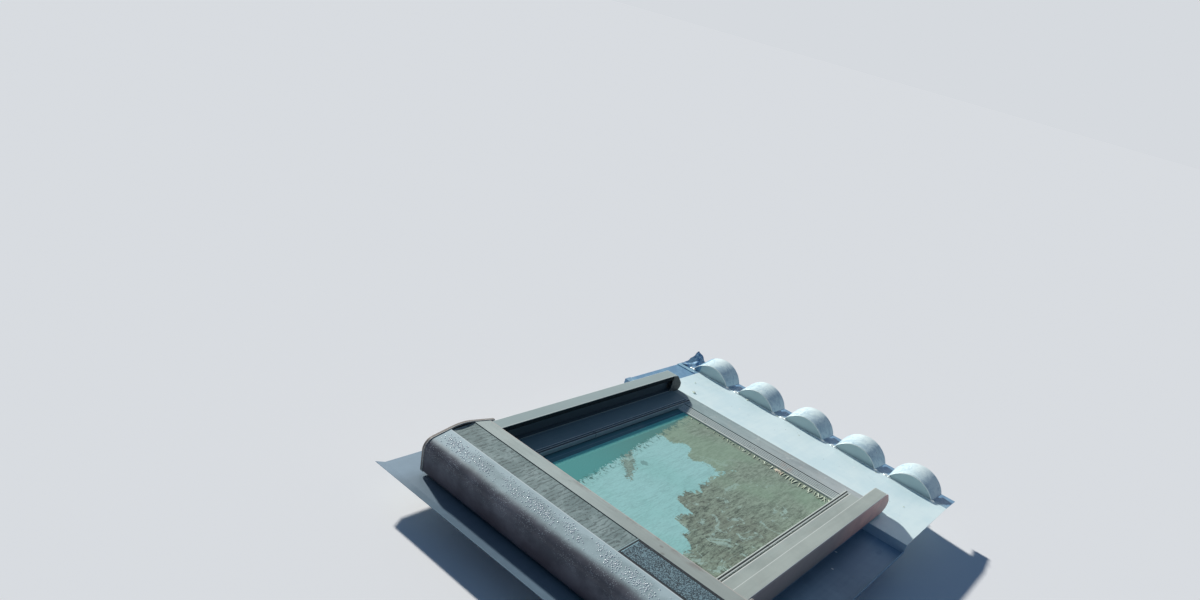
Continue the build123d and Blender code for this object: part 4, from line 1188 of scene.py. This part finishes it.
def crinkleCoat():
    f = Finish("crinkledZinc", Metallic=0.3)
    patch = f.noise(46.0, 5.0, 0.7, 0.6)
    colour = f.mix(f.ease(patch, 0.4, 0.62), crinkleLook["dark"], crinkleLook["light"])
    f.surface(Base_Color=colour, Roughness=0.35 + patch * 0.2)
    f.bump(f.noise(180.0, 4.0, 0.7), 0.3, 0.002)
    return f


def crinkledSheet(finish):
    look = crinkleLook
    pick = random.Random(look["seed"])
    bumps = [(pick.uniform(0, 1), pick.uniform(0, 1), pick.uniform(*look["bumpWidth"]),
              pick.uniform(*look["bumpHeight"])) for _ in range(look["bumps"])]
    (x0, x1), (y0, y1) = look["x"], look["y"]
    n = look["steps"]
    points, faces = [], []
    for i in range(n + 1):
        for j in range(n + 1):
            u, v = i / n, j / n
            lift = sum(h * math.exp(-((u - a) ** 2 + (v - b) ** 2) / (2 * w * w)) for a, b, w, h in bumps)
            corner = max(0.0, u + (1 - v) - look["curlFrom"]) ** 1.5 * look["curl"]
            x = x0 + (x1 - x0) * u + math.sin(v * 19) * 0.0015 - corner * 0.25
            y = y0 + (y1 - y0) * v + math.sin(u * 17) * 0.002 + corner * 0.3
            points.append((x, y, look["base"] + max(0.0, lift) + corner))
    for i in range(n):
        for j in range(n):
            a = i * (n + 1) + j
            faces.append((a, a + n + 1, a + n + 2, a + 1))
    meshPiece("crinkled_sheet", points, faces, finish, "frame")


crinkledSheet(crinkleCoat())
print("small pieces made")


# floor, light and camera
stageLook = {
    "reach": 400.0,
    "drop": 0.0004,
    "floor": (236, 238, 240),
    "floorDark": (224, 227, 230),
    "behind": (0.672, 0.701, 0.738, 1.0),                           # the floor's colour as it renders
    "fill": (150, 190, 240),
    "fillStrength": 0.22,
    "sunFrom": (1.0, -0.24, 0.60),
    "sunStrength": 4.7,
    "sunColour": (1.0, 0.96, 0.89),
    "sunAngle": 3.0,
}
cameraLook = {
    "place": (-0.9613, 2.0997, 1.2743),
    "right": (-0.74322, -0.61621, 0.26057),
    "down": (-0.40028, 0.09748, -0.91119),
    "ahead": (0.53609, -0.78152, -0.31911),
    "lens": 26.2,
    "sensor": 36.0,
}
scene = bpy.context.scene


def paleFloor():
    reach = stageLook["reach"]
    corners = [(-reach, -reach, 0), (reach, -reach, 0), (reach, reach, 0), (-reach, reach, 0)]
    mesh = bpy.data.meshes.new("floor")
    mesh.from_pydata(corners, [], [(0, 1, 2, 3)])
    floor = bpy.data.objects.new("floor", mesh)
    floor.location.z = cadBox[0][2] - stageLook["drop"]
    scene.collection.objects.link(floor)
    f = Finish("paleFloor", Roughness=1.0, Specular_IOR_Level=0.0)
    f.surface(Base_Color=f.mix(f.noise(1.3, 3.0, 0.5) * 0.05, stageLook["floor"], stageLook["floorDark"]))
    mesh.materials.append(f.material)


def softSky():
    # a dim blue fill, behind which the camera, glossy and transmission rays see the floor's colour
    world = bpy.data.worlds.new("softSky")
    world.use_nodes = True
    scene.world = world
    sky = Graph(world.node_tree)
    fill = Wire(sky, sky.tree.nodes["Background"].outputs[0])
    sky.feed(fill.socket.node.inputs[0], stageLook["fill"])
    sky.feed(fill.socket.node.inputs[1], stageLook["fillStrength"])
    behind = sky.add("Background", {}, {0: stageLook["behind"]})
    rays = sky.add("LightPath", output="Is Camera Ray")
    seen = rays.high(rays.beside("Is Glossy Ray")).high(rays.beside("Is Transmission Ray"))
    both = sky.add("MixShader", {}, {0: seen, 1: fill, 2: behind})
    sky.feed(sky.tree.nodes["World Output"].inputs[0], both)


def sunLight():
    data = bpy.data.lights.new("sun", "SUN")
    data.energy = stageLook["sunStrength"]
    data.color = stageLook["sunColour"]
    data.angle = math.radians(stageLook["sunAngle"])
    sun = bpy.data.objects.new("sun", data)
    sun.rotation_euler = Vector(stageLook["sunFrom"]).to_track_quat("Z", "Y").to_euler()
    scene.collection.objects.link(sun)


def photoCamera():
    look = cameraLook
    data = bpy.data.cameras.new("camera")
    data.lens = look["lens"]
    data.sensor_width = look["sensor"]
    data.sensor_fit = "HORIZONTAL"
    camera = bpy.data.objects.new("camera", data)
    turned = Matrix((look["right"], -Vector(look["down"]), -Vector(look["ahead"]))).transposed()
    camera.matrix_world = Matrix.Translation(look["place"]) @ turned.to_4x4()
    scene.collection.objects.link(camera)
    scene.camera = camera


paleFloor()
softSky()
sunLight()
photoCamera()
scene.view_settings.view_transform = "Standard"
print("stage made")
